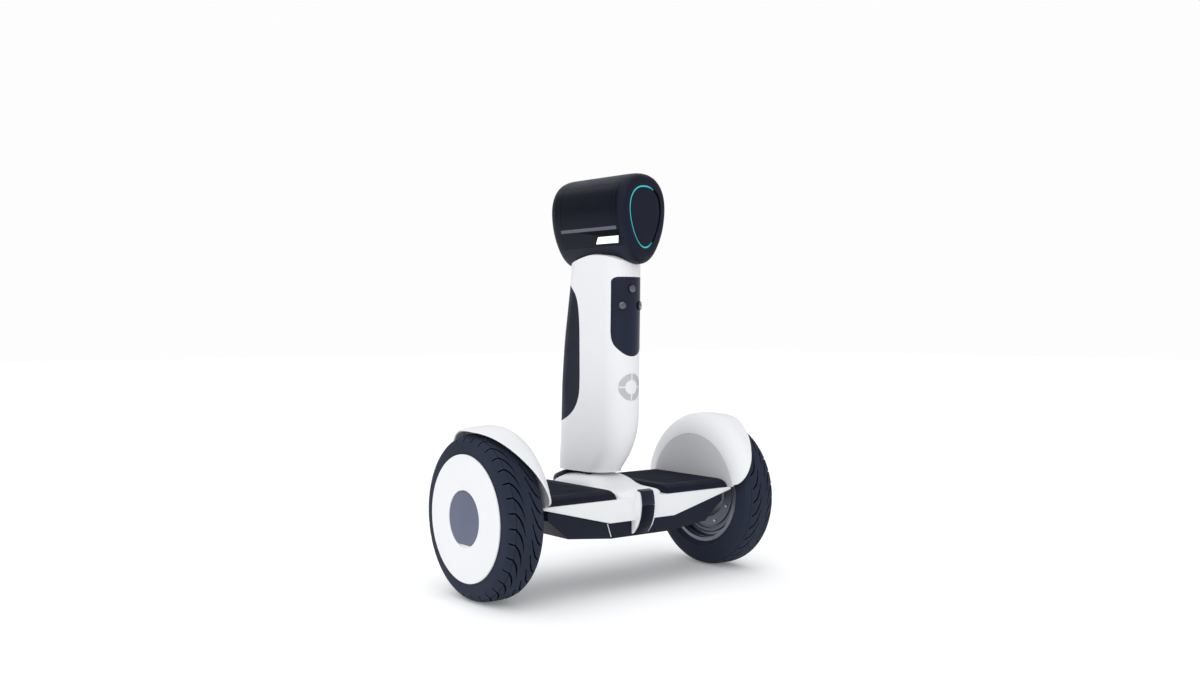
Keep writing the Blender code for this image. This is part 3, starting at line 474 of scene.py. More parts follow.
def hermite(value, points):
    """Smooth reading of (position, value) pairs, through every pair and with no overshoot."""
    xs = [p[0] for p in points]
    ys = [p[1] for p in points]
    if value <= xs[0]:
        return ys[0]
    if value >= xs[-1]:
        return ys[-1]
    slopes = [(ys[i + 1] - ys[i]) / (xs[i + 1] - xs[i]) for i in range(len(xs) - 1)]
    tangents = [slopes[0]]
    for before, after in zip(slopes, slopes[1:]):
        tangents.append(0.0 if before * after <= 0 else 2 * before * after / (before + after))
    tangents.append(slopes[-1])
    i = max(k for k in range(len(xs) - 1) if value >= xs[k])
    width = xs[i + 1] - xs[i]
    t = (value - xs[i]) / width
    a = (1 + 2 * t) * (1 - t) ** 2
    b = t * (1 - t) ** 2 * width
    c = t * t * (3 - 2 * t)
    d = t * t * (t - 1) * width
    return a * ys[i] + b * tangents[i] + c * ys[i + 1] + d * tangents[i + 1]


def signed_power(value, exponent):
    return math.copysign(abs(value) ** exponent, value)


def blend(low, high, share):
    return low + (high - low) * share


def smoothstep(value):
    value = np.clip(value, 0.0, 1.0)
    return value * value * (3 - 2 * value)


def prism(name, outline, axis, low, high):
    """A flat outline given in the plane across the axis letter, drawn out from low to high along it."""
    places = {
        "X": lambda across, up, along: (along, across, up),
        "Y": lambda across, up, along: (across, along, up),
        "Z": lambda across, up, along: (across, up, along),
    }
    place = places[axis]
    bm = bmesh.new()
    near = [bm.verts.new(place(across, up, low)) for across, up in outline]
    far = [bm.verts.new(place(across, up, high)) for across, up in outline]
    bm.faces.new(near)
    bm.faces.new(far[::-1])
    for i in range(len(outline)):
        j = (i + 1) % len(outline)
        bm.faces.new((near[i], far[i], far[j], near[j]))
    return smooth(mesh_object(name, bm))


def joined(name, objects):
    """One object out of several, each still its own shell."""
    bm = bmesh.new()
    for obj in objects:
        bm.from_mesh(obj.data)
        bpy.data.objects.remove(obj)
    return smooth(mesh_object(name, bm))


def rounded(obj, width, segments=2, degrees=40):
    """Rounds the piece's sharp edges, applied at once."""
    modifier = obj.modifiers.new("rounding", "BEVEL")
    modifier.width = width
    modifier.segments = segments
    modifier.limit_method = "ANGLE"
    modifier.angle_limit = math.radians(degrees)
    apply_modifiers(obj)
    return smooth(obj, 50)


def mirrored_x(outline):
    return outline + [(-x, z) for x, z in reversed(outline)]


SIDES = ((1, "left"), (-1, "right"))
GAP = 0.0003
AXLE_Z = 0.131
TRACK_HALF = 0.2448

# ---------------------------------------------------------------- wheels

TYRE_RADIUS = 0.131
TYRE_HALF = 0.033
TYRE_SECTION = 0.034
TYRE_POWER = 2 / 3.67
BEAD_RADIUS = 0.0900
RIM_RADIUS = 0.0897
PITCHES = 34
GROOVE_DEPTH = 0.0034
GROOVE_HALF = 0.00135
GROOVE_PATH = [
    (-0.0330, 36.5),
    (-0.0213, 34.4),
    (-0.0142, 31.3),
    (-0.0082, 25.8),
    (-0.0045, 20.0),
    (0.0090, 15.5),
    (0.0126, 9.0),
    (0.0180, 4.0),
    (0.0240, 0.5),
    (0.0303, 0.0),
    (0.0330, -0.2),
]
ZIG_LINES = (0.0234, -0.0250)
ZIG_HALF = 0.0006


def tyre_section():
    """Points (distance outward, radius) from the outer bead over the tread to the inner bead."""
    base = TYRE_RADIUS - TYRE_SECTION
    angles = np.linspace(0, math.pi, 1201)
    cosine = np.cos(angles)
    out = TYRE_HALF * np.sign(cosine) * np.abs(cosine) ** TYRE_POWER
    up = base + TYRE_SECTION * np.abs(np.sin(angles)) ** TYRE_POWER
    along = np.concatenate([[0], np.cumsum(np.hypot(np.diff(out), np.diff(up)))])
    marks = np.linspace(0, along[-1], 92)
    for line in ZIG_LINES:
        middle = np.interp(-line, -out, along)
        keep = np.abs(marks - middle) > 2.2 * ZIG_HALF
        marks = np.concatenate([marks[keep], middle + ZIG_HALF * np.array([-1.4, -0.8, 0.8, 1.4])])
    marks = np.sort(marks)
    return np.interp(marks, along, out), np.interp(marks, along, up)


def build_tyre(side, name):
    out, up = tyre_section()
    slope_out = np.gradient(out)
    slope_up = np.gradient(up)
    length = np.hypot(slope_out, slope_up)
    normal_out, normal_up = slope_up / length, -slope_out / length
    outward = np.sign(normal_up[len(out) // 2])
    normal_out, normal_up = normal_out * outward, normal_up * outward
    path_out = np.array([p[0] for p in GROOVE_PATH])
    path_deg = np.array([p[1] for p in GROOVE_PATH])
    lead = np.radians(np.interp(out, path_out, path_deg))
    steep = np.abs(np.gradient(lead) * TYRE_RADIUS / np.maximum(length, 1e-6))
    half = GROOVE_HALF * np.minimum(np.hypot(1, steep), 2.4) / TYRE_RADIUS
    outer_window = smoothstep((0.0312 - out) / 0.0016) * smoothstep((out - 0.0085) / 0.0020)
    inner_window = smoothstep((out + 0.0222) / 0.0016) * smoothstep((-0.0035 - out) / 0.0020)
    depth = GROOVE_DEPTH * np.maximum(outer_window, inner_window)
    line_depth = np.zeros_like(out)
    for line in ZIG_LINES:
        line_depth += 0.0009 * (np.abs(out - line) < ZIG_HALF)
    pitch = 2 * math.pi / PITCHES
    lanes = [(-1.15, 0.0), (-0.98, 0.15), (-0.68, 1.0), (0.68, 1.0), (0.98, 0.15), (1.15, 0.0)]
    block_steps = 8
    rings = []
    for k in range(PITCHES):
        offsets = [(half * lane, share) for lane, share in lanes]
        for i in range(1, block_steps):
            share = i / block_steps
            offsets.append((blend(half * 1.15, pitch - half * 1.15, share), 0.0))
        for offset, share in offsets:
            angle = k * pitch + lead + offset
            sink = np.maximum(depth * share, line_depth)
            radius = up - normal_up * sink
            place = out - normal_out * sink
            x = side * (TRACK_HALF + place)
            y = -radius * np.cos(angle)
            z = AXLE_Z - radius * np.sin(angle)
            tread = np.stack([x, y, z], axis=1)
            bead_x = side * (TRACK_HALF + np.array([-1, 1]) * (TYRE_HALF - 0.006))
            bead_angle = angle[[-1, 0]]
            bead_y = -BEAD_RADIUS * np.cos(bead_angle)
            bead_z = AXLE_Z - BEAD_RADIUS * np.sin(bead_angle)
            rings.append(np.concatenate([tread, np.stack([bead_x, bead_y, bead_z], axis=1)]))
    tyre = smooth(ring_solid("tread_tyre_" + name, rings), 32)
    dress(tyre, "tyre", "wheel_" + name, "tyre_rubber", "tyre_" + name)
    # Second material: painted shade for the groove floors.
    tyre.data.materials.append(LOOKS["groove"])
    paint_groove_shade(tyre, side, out, up)


def paint_groove_shade(tyre, side, out, up):
    """Gives the faces on the floor of the tread's grooves a darker material: painted shade in the grooves."""
    mesh = tyre.data
    count = len(mesh.polygons)
    centres = np.empty(count * 3)
    mesh.polygons.foreach_get("center", centres)
    centres = centres.reshape(-1, 3)
    along = side * centres[:, 0] - TRACK_HALF
    radius = np.hypot(centres[:, 1], centres[:, 2] - AXLE_Z)
    surface = np.interp(-along, -out, up)
    sunk = (surface - radius > 0.0011) & (radius > TYRE_RADIUS - 0.026) & (np.abs(along) < 0.0312)
    mesh.polygons.foreach_set("material_index", sunk.astype(np.int32))


def arc_points(centre, radius, start, end, steps):
    """Points (radius, distance outward) round a circular fillet, in degrees from the outward radius."""
    angles = [math.radians(blend(start, end, i / steps)) for i in range(steps + 1)]
    return [(centre[0] + radius * math.cos(a), centre[1] + radius * math.sin(a)) for a in angles]


CAP_RADIUS = 0.1003
CAP_FACE = 0.0369
BADGE_RADIUS = 0.044
BADGE_FLAT = 0.0405
SCREW_CIRCLE = 0.0555


def build_wheel(side, name):
    body = "wheel_" + name
    centre = (side * TRACK_HALF, 0.0, AXLE_Z)

    def turned(piece, profile, look, slot, *replaced, steps=144):
        made = turned_x(f"{piece}_{name}", profile, centre, side, steps)
        return dress(made, look, body, slot, *replaced)

    build_tyre(side, name)

    rim = [(0.0, 0.0300), (RIM_RADIUS, 0.0300), (RIM_RADIUS, -0.0265)]
    rim += arc_points((RIM_RADIUS - 0.0010, -0.0265), 0.0010, 0, -90, 4)
    rim += arc_points((0.0832, -0.0265), 0.0010, -90, -180, 4)
    rim += [(0.0820, -0.0215), (0.0808, -0.0205), (0.0800, -0.0085), (0.0735, -0.0080)]
    rim += [(0.0735, 0.0260), (0.0, 0.0260)]
    turned("rim_ring", rim, "silver", "aluminium", "rim_" + name)
    band = [(0.0797, -0.0088), (0.0797, -0.0112), (0.0791, -0.0118), (0.0748, -0.0118), (0.0742, -0.0112)]
    turned("rim_band", band + [(0.0742, -0.0088)], "silver", "aluminium")

    cover = [(0.0731, -0.0082), (0.0731, -0.0120), (0.0725, -0.0126), (0.0676, -0.0126), (0.0670, -0.0120)]
    cover += [(0.0668, -0.0102), (0.0640, -0.0102), (0.0638, -0.0120), (0.0632, -0.0126), (0.0470, -0.0128)]
    cover += [(0.0456, -0.0132), (0.0408, -0.0192), (0.0396, -0.0200), (0.0300, -0.0200), (0.0296, -0.0190)]
    cover += [(0.0262, -0.0190), (0.0258, -0.0200), (0.0150, -0.0200), (0.0143, -0.0193), (0.0143, -0.0082)]
    turned("motor_end", cover, "motor", "fender_panel", "motor_cover_" + name)
    screws = []
    for i in range(8):
        angle = 2 * math.pi * (i + 0.5) / 8
        y = SCREW_CIRCLE * math.cos(angle)
        place = Vector((side * (TRACK_HALF - 0.0128), y, AXLE_Z + SCREW_CIRCLE * math.sin(angle)))
        screws.append(disc_piece("screw", 0.0030, 0.0018, place, (side, 0, 0), 24, 0.0004))
    dress(joined("motor_screws_" + name, screws), "steel", body, "steel")

    cap = [(0.0, 0.0347), (BADGE_RADIUS + 0.0006, 0.0347)]
    cap += arc_points((BADGE_RADIUS + 0.0014, CAP_FACE - 0.0008), 0.0008, 180, 90, 4)
    cap += [(0.0600, CAP_FACE), (0.0800, CAP_FACE - 0.0001), (0.0940, CAP_FACE - 0.0003)]
    cap += arc_points((CAP_RADIUS - 0.0022, CAP_FACE - 0.0026), 0.0022, 90, 0, 8)
    cap += [(CAP_RADIUS, 0.0336), (CAP_RADIUS - 0.0004, 0.0333), (0.0885, 0.0333), (0.0870, 0.0303)]
    cap.append((0.0, 0.0303))
    turned("cap_cover", cap, "cap", "white_shell", "wheel_cap_" + name, steps=192)
    build_badge(side, name, body)


def build_badge(side, name, body):
    """A shallow metallic disc in the cap's middle, with a flat cut across its lower edge."""
    back, front = 0.0350, CAP_FACE - 0.0006
    rings = []
    levels = [(0.0, back), (0.0, front - 0.0007), (0.0003, front - 0.0002), (0.0010, front), (0.0040, front)]
    steps = 180
    for inset, along in levels:
        ring = []
        for i in range(steps):
            angle = 2 * math.pi * i / steps
            radius = BADGE_RADIUS - inset
            if math.sin(angle) < -0.5:
                radius = min(radius, (BADGE_FLAT - inset) / -math.sin(angle))
            y = -radius * math.cos(angle)
            ring.append((side * (TRACK_HALF + along), y, AXLE_Z + radius * math.sin(angle)))
        rings.append(ring)
    badge = smooth(closed_loft("badge_disc_" + name, rings))
    dress(badge, "slate", body, "slate_badge", "hub_badge_" + name)
    floor = [(0.0, 0.03475), (BADGE_RADIUS, 0.03475), (BADGE_RADIUS, 0.03495), (0.0, 0.03495)]
    backing = turned_x("badge_backing_" + name, floor, (side * TRACK_HALF, 0.0, AXLE_Z), side, 96)
    dress(backing, "cap", body, "white_shell")


# ---------------------------------------------------------------- fenders

FENDER_PANEL_X = 0.196
FENDER_PANEL_RADIUS = 0.107
FENDER_RADIUS = 0.1435
FENDER_ROLL_X = 0.228
FENDER_EDGE_X = 0.276
FENDER_START_DEG = 13.0
FENDER_WALL = 0.003
FENDER_LIP_DROP = 0.0050


def fender_section(angle_deg, side):
    """Closed strip from the panel's rim over the rounded shoulder to the rounded open edge."""
    from_front = min(angle_deg, 180 - angle_deg)
    share = (from_front - FENDER_START_DEG) / (84.0 - FENDER_START_DEG)
    reach = max(0.0, min(1.0, share)) ** 0.54
    roll = math.pi / 2 * (FENDER_RADIUS - FENDER_PANEL_RADIUS)
    flat = FENDER_EDGE_X - FENDER_ROLL_X
    half = FENDER_WALL / 2
    total = 0.0060 + reach * (roll + flat - 0.0060)
    steps = 26
    outer, inner = [], []
    for i in range(steps + 1):
        distance = (total - half) * i / steps
        turn = min(distance / roll, 1.0) * math.pi / 2
        extra = max(distance - roll, 0.0)
        across = FENDER_ROLL_X - (FENDER_ROLL_X - FENDER_PANEL_X) * math.cos(turn) + extra
        radius = FENDER_PANEL_RADIUS + (FENDER_RADIUS - FENDER_PANEL_RADIUS) * math.sin(turn)
        radius -= FENDER_LIP_DROP * (extra / flat) ** 2
        normal = Vector((-math.cos(turn), math.sin(turn)))
        outer.append((across, radius))
        inner.append((across - normal.x * FENDER_WALL, radius - normal.y * FENDER_WALL))
    middle = (Vector(outer[-1]) + Vector(inner[-1])) / 2
    lip = []
    for i in range(1, 6):
        angle = math.pi * i / 6
        ahead = Vector((normal.y, -normal.x))
        point = middle + half * (normal * math.cos(angle) + ahead * math.sin(angle))
        lip.append((point.x, point.y))
    angle = math.radians(angle_deg)
    return [
        (side * across, -radius * math.cos(angle), AXLE_Z + radius * math.sin(angle))
        for across, radius in outer + lip + inner[::-1]
    ]


def build_fenders():
    count = 120
    for side, name in SIDES:
        start, end = FENDER_START_DEG, 180 - FENDER_START_DEG
        spread = [0.5 - 0.5 * math.cos(math.pi * i / count) for i in range(count + 1)]
        rings = [fender_section(blend(start, end, share), side) for share in spread]
        guard = smooth(closed_loft("guard_" + name, rings), 50)
        dress(guard, "white", "base", "white_shell", "fender_" + name)
        # The inner panel's grey is painted shade: a wall turned away from the light, given a darker colour.
        finish_copy("fender_panel_" + name, "panel", "base", "fender_panel", bevel=0.0006)


# ---------------------------------------------------------------- base

DECK_Z = 0.152
COVER_LOW_Z = 0.115
COVER_KINK_X = 0.068
COVER_TIP_X = 0.1990
COVER_TIP_Z = 0.148
COVER_Y = 0.0985
SPINE_HALF = 0.051
NOSE_HALF = 0.018
LENS_HALF = 0.013
BUTTON_X = 0.044
BUTTON_Z = 0.130
NOSE_CURVE = [
    (-0.0985, 0.1650),
    (-0.1070, 0.1630),
    (-0.1110, 0.1530),
    (-0.1125, 0.1405),
    (-0.1105, 0.1240),
    (-0.1040, 0.1060),
    (-0.0920, 0.0905),
]
SPINE_STATIONS = [
    (-0.0970, 0.0300, 0.1545, 0.1535),
    (-0.0940, 0.0420, 0.1600, 0.1535),
    (-0.0850, 0.0485, 0.1640, 0.1545),
    (-0.0480, SPINE_HALF, 0.1650, 0.1560),
    (-0.0300, SPINE_HALF, 0.1695, 0.1565),
    (-0.0130, SPINE_HALF, 0.1780, 0.1570),
    (0.0050, SPINE_HALF, 0.1812, 0.1570),
    (0.0400, SPINE_HALF, 0.1812, 0.1560),
    (0.0700, SPINE_HALF, 0.1780, 0.1550),
    (0.0900, SPINE_HALF, 0.1710, 0.1545),
    (0.0970, 0.0420, 0.1620, 0.1535),
]


def nose_points(depth, start=0, end=6, steps_each=8):
    """The front band's smooth outline between two of its curve's points, set back towards the body."""
    ys = [(i, p[0]) for i, p in enumerate(NOSE_CURVE)]
    zs = [(i, p[1]) for i, p in enumerate(NOSE_CURVE)]
    points = []
    count = (end - start) * steps_each
    for i in range(count + 1):
        at = start + (end - start) * i / count
        before, after = max(at - 0.15, 0.0), min(at + 0.15, 6.0)
        along = Vector((hermite(after, ys) - hermite(before, ys), hermite(after, zs) - hermite(before, zs)))
        along.normalize()
        points.append((hermite(at, ys) - along.y * depth, hermite(at, zs) + along.x * depth))
    return points


def spine_solid():
    halves = [(s[0], s[1]) for s in SPINE_STATIONS]
    crowns = [(s[0], s[2]) for s in SPINE_STATIONS]
    shoulders = [(s[0], s[3]) for s in SPINE_STATIONS]
    base = DECK_Z - 0.004
    low, high = SPINE_STATIONS[0][0], SPINE_STATIONS[-1][0]
    rings = []
    count = 84
    for k in range(count + 1):
        y = blend(low, high, 0.5 - 0.5 * math.cos(math.pi * k / count))
        half, crown, shoulder = hermite(y, halves), hermite(y, crowns), hermite(y, shoulders)
        ring = [(-half, y, base)]
        for i in range(33):
            share = -math.cos(math.pi * i / 32)
            rise = max(0.0, 1 - abs(share) ** 3.2) ** 0.5
            ring.append((share * (half - 0.002), y, blend(shoulder, crown, rise)))
        ring.append((half, y, base))
        rings.append(ring)
    return closed_loft("spine", rings)


def build_top_cover():
    wedge = [(COVER_KINK_X, COVER_LOW_Z), (COVER_TIP_X, COVER_TIP_Z), (COVER_TIP_X, DECK_Z)]
    cover = prism("deck_cover", mirrored_x(wedge), "Y", -COVER_Y, COVER_Y)
    cover = rounded(cover, 0.0016, 3)
    united(cover, spine_solid())
    nose = nose_points(0.0026) + [(-0.080, 0.0915), (-0.080, 0.160)]
    united(cover, rounded(prism("nose", nose, "X", -NOSE_HALF, NOSE_HALF), 0.0008))
    cutters = [
        prism("tray_seat", mirrored_x([(0.07, 0.06), (0.07, COVER_LOW_Z)]), "Y", -0.0903, -0.070),
        prism(
            "hollow",
            mirrored_x([(0.066, 0.100), (0.128, 0.131), (0.128, 0.149), (0.040, 0.149)]),
            "Y",
            -0.082,
            0.082,
        ),
        box_piece("post_hole", (-0.026, 0.014, 0.10), (0.026, 0.104, 0.30)),
        box_piece("post_window", (-0.0335, 0.0785, 0.1415), (0.0335, 0.104, 0.30)),
        box_piece("port_hole", (-0.0525, 0.080, 0.1225), (-0.0355, 0.110, 0.1375)),
        disc_piece("button_hole", 0.0085, 0.03, (BUTTON_X, 0.095, BUTTON_Z), (0, 1, 0), 48),
        box_piece("lamp_hole", (-0.0205, 0.0960, 0.1190), (0.0205, 0.110, 0.1290)),
    ]
    for side, _ in SIDES:
        near, far = sorted((side * 0.1225, side * 0.1850))
        cutters.append(box_piece("clamp_room", (near, -0.0130, 0.100), (far, 0.0130, 0.1428)))
    cut(cover, *cutters)
    smooth(cover, 32)
    dress(cover, "white", "base", "white_shell", "top_cover")


def build_front_band():
    for name, start, end in (("upper", 0, 3), ("lower", 3, 6)):
        outline = nose_points(0.0, start, end) + nose_points(0.0022, start, end)[::-1]
        lens = prism("band_" + name, outline, "X", -LENS_HALF, LENS_HALF)
        if name == "lower":
            seam = NOSE_CURVE[3][1]
            cut(lens, box_piece("seam", (-0.02, -0.12, seam - 0.0006), (0.02, -0.10, seam + 0.001)))
        rounded(lens, 0.0004)
        dress(lens, "glass" if name == "upper" else "gloss", "base", "gloss_black", "front_lens_" + name)


PAD_IN_X = 0.054
PAD_OUT_X = 0.1905
PAD_SECTION = [(-0.0970, 0.1523), (-0.0968, 0.1550), (-0.0910, 0.1616), (-0.0770, 0.1653), (-0.0680, 0.1655)]
PAD_SECTION += [(0.0860, 0.1655), (0.0940, 0.1652), (0.1000, 0.1618), (0.1026, 0.1560), (0.1030, 0.1523)]
RIB_PITCH = 0.0036


def build_footpads():
    base, well = 0.1523, 0.1565
    heights = [(y, z) for y, z in PAD_SECTION[1:-1]]
    ys = np.concatenate([np.linspace(-0.0968, -0.0905, 10), np.linspace(-0.0895, 0.0935, 205)])
    ys = np.concatenate([ys, np.linspace(0.0945, 0.1026, 11)])
    top = np.array([hermite(y, heights) for y in ys])
    for side, name in SIDES:
        xs = np.concatenate([np.linspace(0, 0.0024, 5), np.linspace(0.0034, 0.1331, 145)])
        xs = PAD_IN_X + np.concatenate([xs, np.linspace(0.1341, PAD_OUT_X - PAD_IN_X, 5)])
        rings = []
        for x in xs:
            edge = min(x - PAD_IN_X, PAD_OUT_X - x)
            drop = 0.0024 - math.sqrt(max(0.0, 0.0024**2 - (0.0024 - min(edge, 0.0024)) ** 2))
            ribbed = smoothstep((x - 0.0730) / 0.004) * smoothstep((0.1860 - x) / 0.003)
            area = ribbed * smoothstep((ys + 0.0740) / 0.004) * smoothstep((0.0900 - ys) / 0.004)
            wave = np.abs(((x * 0.62 + ys * 0.79) / RIB_PITCH) % 1.0 - 0.5) * 2
            groove = 0.0009 * area * smoothstep((wave - 0.52) / 0.3)
            z = np.maximum(top - drop - groove, base + 0.0004)
            line = [(side * x, ys[i], z[i]) for i in range(len(ys))]
            inside = base if x < 0.0750 or x > 0.1650 else well
            low = [(0.1030, base), (0.0502, base), (0.0500, inside), (-0.0500, inside), (-0.0502, base)]
            line += [(side * x, y, height) for y, height in low + [(-0.0970, base)]]
            rings.append(line)
        pad = smooth(closed_loft("pad_" + name, rings), 38)
        dress(pad, "rubber", "base", "pad_rubber", "footpad_" + name)


def build_tray():
    finish_copy("bottom_tray", "black", "base", "black_plastic", bevel=0.0010)
    slant = [(-0.0600, 0.0915), (-0.0614, 0.0915), (-0.0688, 0.1135), (-0.0674, 0.1135)]
    dress(prism("tray_trim", slant, "Y", -0.0904, -0.0890), "white", "base", "white_shell")
    feet = []
    for x in (-0.135, -0.050, 0.050, 0.135):
        for y in (-0.070, 0.070):
            height = 0.0885 if abs(x) < 0.1 else 0.0959
            feet.append(disc_piece("screw", 0.0042, 0.0010, (x, y, height + 0.0001), (0, 0, 1), 24, 0.0003))
    dress(joined("tray_screws", feet), "steel", "base", "steel")


def build_rear():
    finish_copy("pivot_housing", "black", "base", "black_plastic", degrees=50)
    finish_copy("charge_cover", "rubber", "charge_cover", "pad_rubber", bevel=0.0004)
    finish_copy("power_button", "black", "power_button", "black_plastic", bevel=0.0006)
    finish_copy("rear_light", "red", "base", "rear_lamp", bevel=0.0003)
    ribs = [
        box_piece("rib", (x - 0.0004, 0.0988, 0.1202), (x + 0.0004, 0.0993, 0.1278), 0.0001)
        for x in np.linspace(-0.017, 0.017, 12)
    ]
    dress(joined("lamp_ribs", ribs), "red", "base", "rear_lamp")
    turns = np.linspace(0, 2 * math.pi, 48, False)
    mark, hole = (
        [(BUTTON_X + radius * math.cos(t), BUTTON_Z + radius * math.sin(t)) for t in turns]
        for radius in (0.0052, 0.0044)
    )
    ring = prism("button_ring", mark, "Y", 0.1003, 0.1007)
    cut(ring, prism("hole", hole, "Y", 0.09, 0.11))
    dress(ring, "panel", "power_button", "fender_panel")


# ---------------------------------------------------------------- column

COLUMN_BOTTOM_Z = 0.1845
COLUMN_TOP_Z = 0.562
COLUMN_FRONT = [
    (0.183, -0.0185),
    (0.188, -0.0205),
    (0.200, -0.0310),
    (0.220, -0.0470),
    (0.243, -0.0590),
    (0.260, -0.0645),
    (0.280, -0.0675),
    (0.330, -0.0685),
    (0.420, -0.0700),
    (0.520, -0.0715),
    (0.562, -0.0715),
]
COLUMN_BACK = [
    (0.183, 0.1085),
    (0.200, 0.1075),
    (0.260, 0.1030),
    (0.330, 0.1000),
    (0.400, 0.0930),
    (0.460, 0.0830),
    (0.520, 0.0735),
    (0.562, 0.0705),
]
CROWN_AXIS = [
    (0.0, 0.5550),
    (0.0200, 0.5535),
    (0.0340, 0.5500),
    (0.0476, 0.5480),
    (0.0581, 0.5445),
    (0.0639, 0.5410),
    (0.0669, 0.5384),
    (0.0690, 0.5358),
    (0.0780, 0.5270),
]
CROWN_REAR_Y = -0.012
CROWN_REAR = [
    (0.0, 0.5580),
    (0.0300, 0.5520),
    (0.0452, 0.5475),
    (0.0576, 0.5432),
    (0.0725, 0.5379),
    (0.0860, 0.5310),
]
NECK_Y = -0.0025
SKIN = 0.0022
SPEAKER_RADIUS = 0.0220
SPEAKER_Z = 0.330
FRONT_RADIUS = 0.034
BACK_RADIUS = 0.039


def column_ring(level, inset, arc_steps=30):
    """Two arcs of unlike radius joined by straight sides."""
    front = hermite(level, COLUMN_FRONT) + inset
    back = hermite(level, COLUMN_BACK) - inset
    front_radius = FRONT_RADIUS - inset
    back_radius = BACK_RADIUS - inset
    points = []
    for i in range(arc_steps):
        angle = -math.pi + math.pi * i / (arc_steps - 1)
        points.append((front_radius * math.cos(angle), front + front_radius * (1 + math.sin(angle))))
    for i in range(arc_steps):
        angle = math.pi * i / (arc_steps - 1)
        points.append((back_radius * math.cos(angle), back - back_radius * (1 - math.sin(angle))))
    return [(x, y, level) for x, y in points]


def column_solid(name, inset, low, high, levels=56):
    return closed_loft(name, [column_ring(blend(low, high, i / levels), inset) for i in range(levels + 1)])


def span(outline):
    levels = [z for _, z in outline]
    return min(levels) - 0.006, max(levels) + 0.006


def skin_piece(name, outline, axis, low, high, depth=SKIN, sink=0.0):
    """The part of the column's skin inside an outline seen along an axis, sunk below the surface if asked."""
    bottom, top = span(outline)
    piece = column_solid(name, sink, bottom, top)
    cut(piece, column_solid("core", depth, bottom - 0.004, top + 0.004))
    intersect(piece, prism("limit", outline, axis, low, high))
    return smooth(piece, 30)


def recess(shell, outline, axis, low, high, depth=SKIN + GAP):
    bottom, top = span(outline)
    pocket = prism("pocket", outline, axis, low, high)
    cut(pocket, column_solid("core", depth, bottom, top))
    cut(shell, pocket)


def corners_cut(points, following):
    """The points a quarter and three quarters of the way from each point to the one that follows."""
    finer = []
    for (ax, az), (bx, bz) in zip(points, following):
        finer.append((blend(ax, bx, 0.25), blend(az, bz, 0.25)))
        finer.append((blend(ax, bx, 0.75), blend(az, bz, 0.75)))
    return finer


def shield(grow):
    """Outline of the sensor window: straight sides, a swept lower edge coming to a round point."""
    half, low, high, point = 0.0305 + grow, 0.380 - grow, 0.512 + grow, 0.026
    side = [(half * 0.30, low + point * 0.05), (half * 0.75, low + point * 0.45), (half, low + point)]
    side += [(half, blend(low, high, 0.5)), (half, high - 0.018), (half, high), (half - 0.018, high)]
    outline = mirrored_x(side)
    for _ in range(2):
        outline = corners_cut(outline, outline[1:] + outline[:1])
    return outline


def panel_outline(grow):
    """Side view of the back panel: its front boundary, then far behind the column."""
    behind = 0.150
    front = [
        (0.0930, 0.264 - grow),
        (0.0640, 0.272 - grow),
        (0.0420, 0.287 - grow),
        (0.0290, 0.308),
        (0.0260 - grow, 0.330),
        (0.0260 - grow, 0.385),
        (0.0260 - grow, 0.440),
        (0.0310 - grow, 0.478 + grow),
        (0.0450, 0.497 + grow),
        (0.0780, 0.511 + grow),
    ]
    for _ in range(3):
        front = [front[0]] + corners_cut(front, front[1:]) + [front[-1]]
    return [(behind, 0.263 - grow)] + front + [(behind, 0.512 + grow)]


def circle(radius, height, steps=64, across=0.0):
    angles = [2 * math.pi * (i + 0.5) / steps for i in range(steps)]
    return [(across + radius * math.cos(a), height + radius * math.sin(a)) for a in angles]


def dome(name, profile, lift, centre_y, foot, steps=96):
    """The space under a dome about an upright axis, down to the foot level."""
    reach = profile[-1][0]
    turns = np.linspace(0, 2 * math.pi, steps, False)
    rings = [[(reach * math.cos(t), centre_y + reach * math.sin(t), foot) for t in turns]]
    for radius in np.linspace(reach, 0.0004, 60):
        height = hermite(radius, profile) + lift
        rings.append([(radius * math.cos(t), centre_y + radius * math.sin(t), height) for t in turns])
    return closed_loft(name, rings)


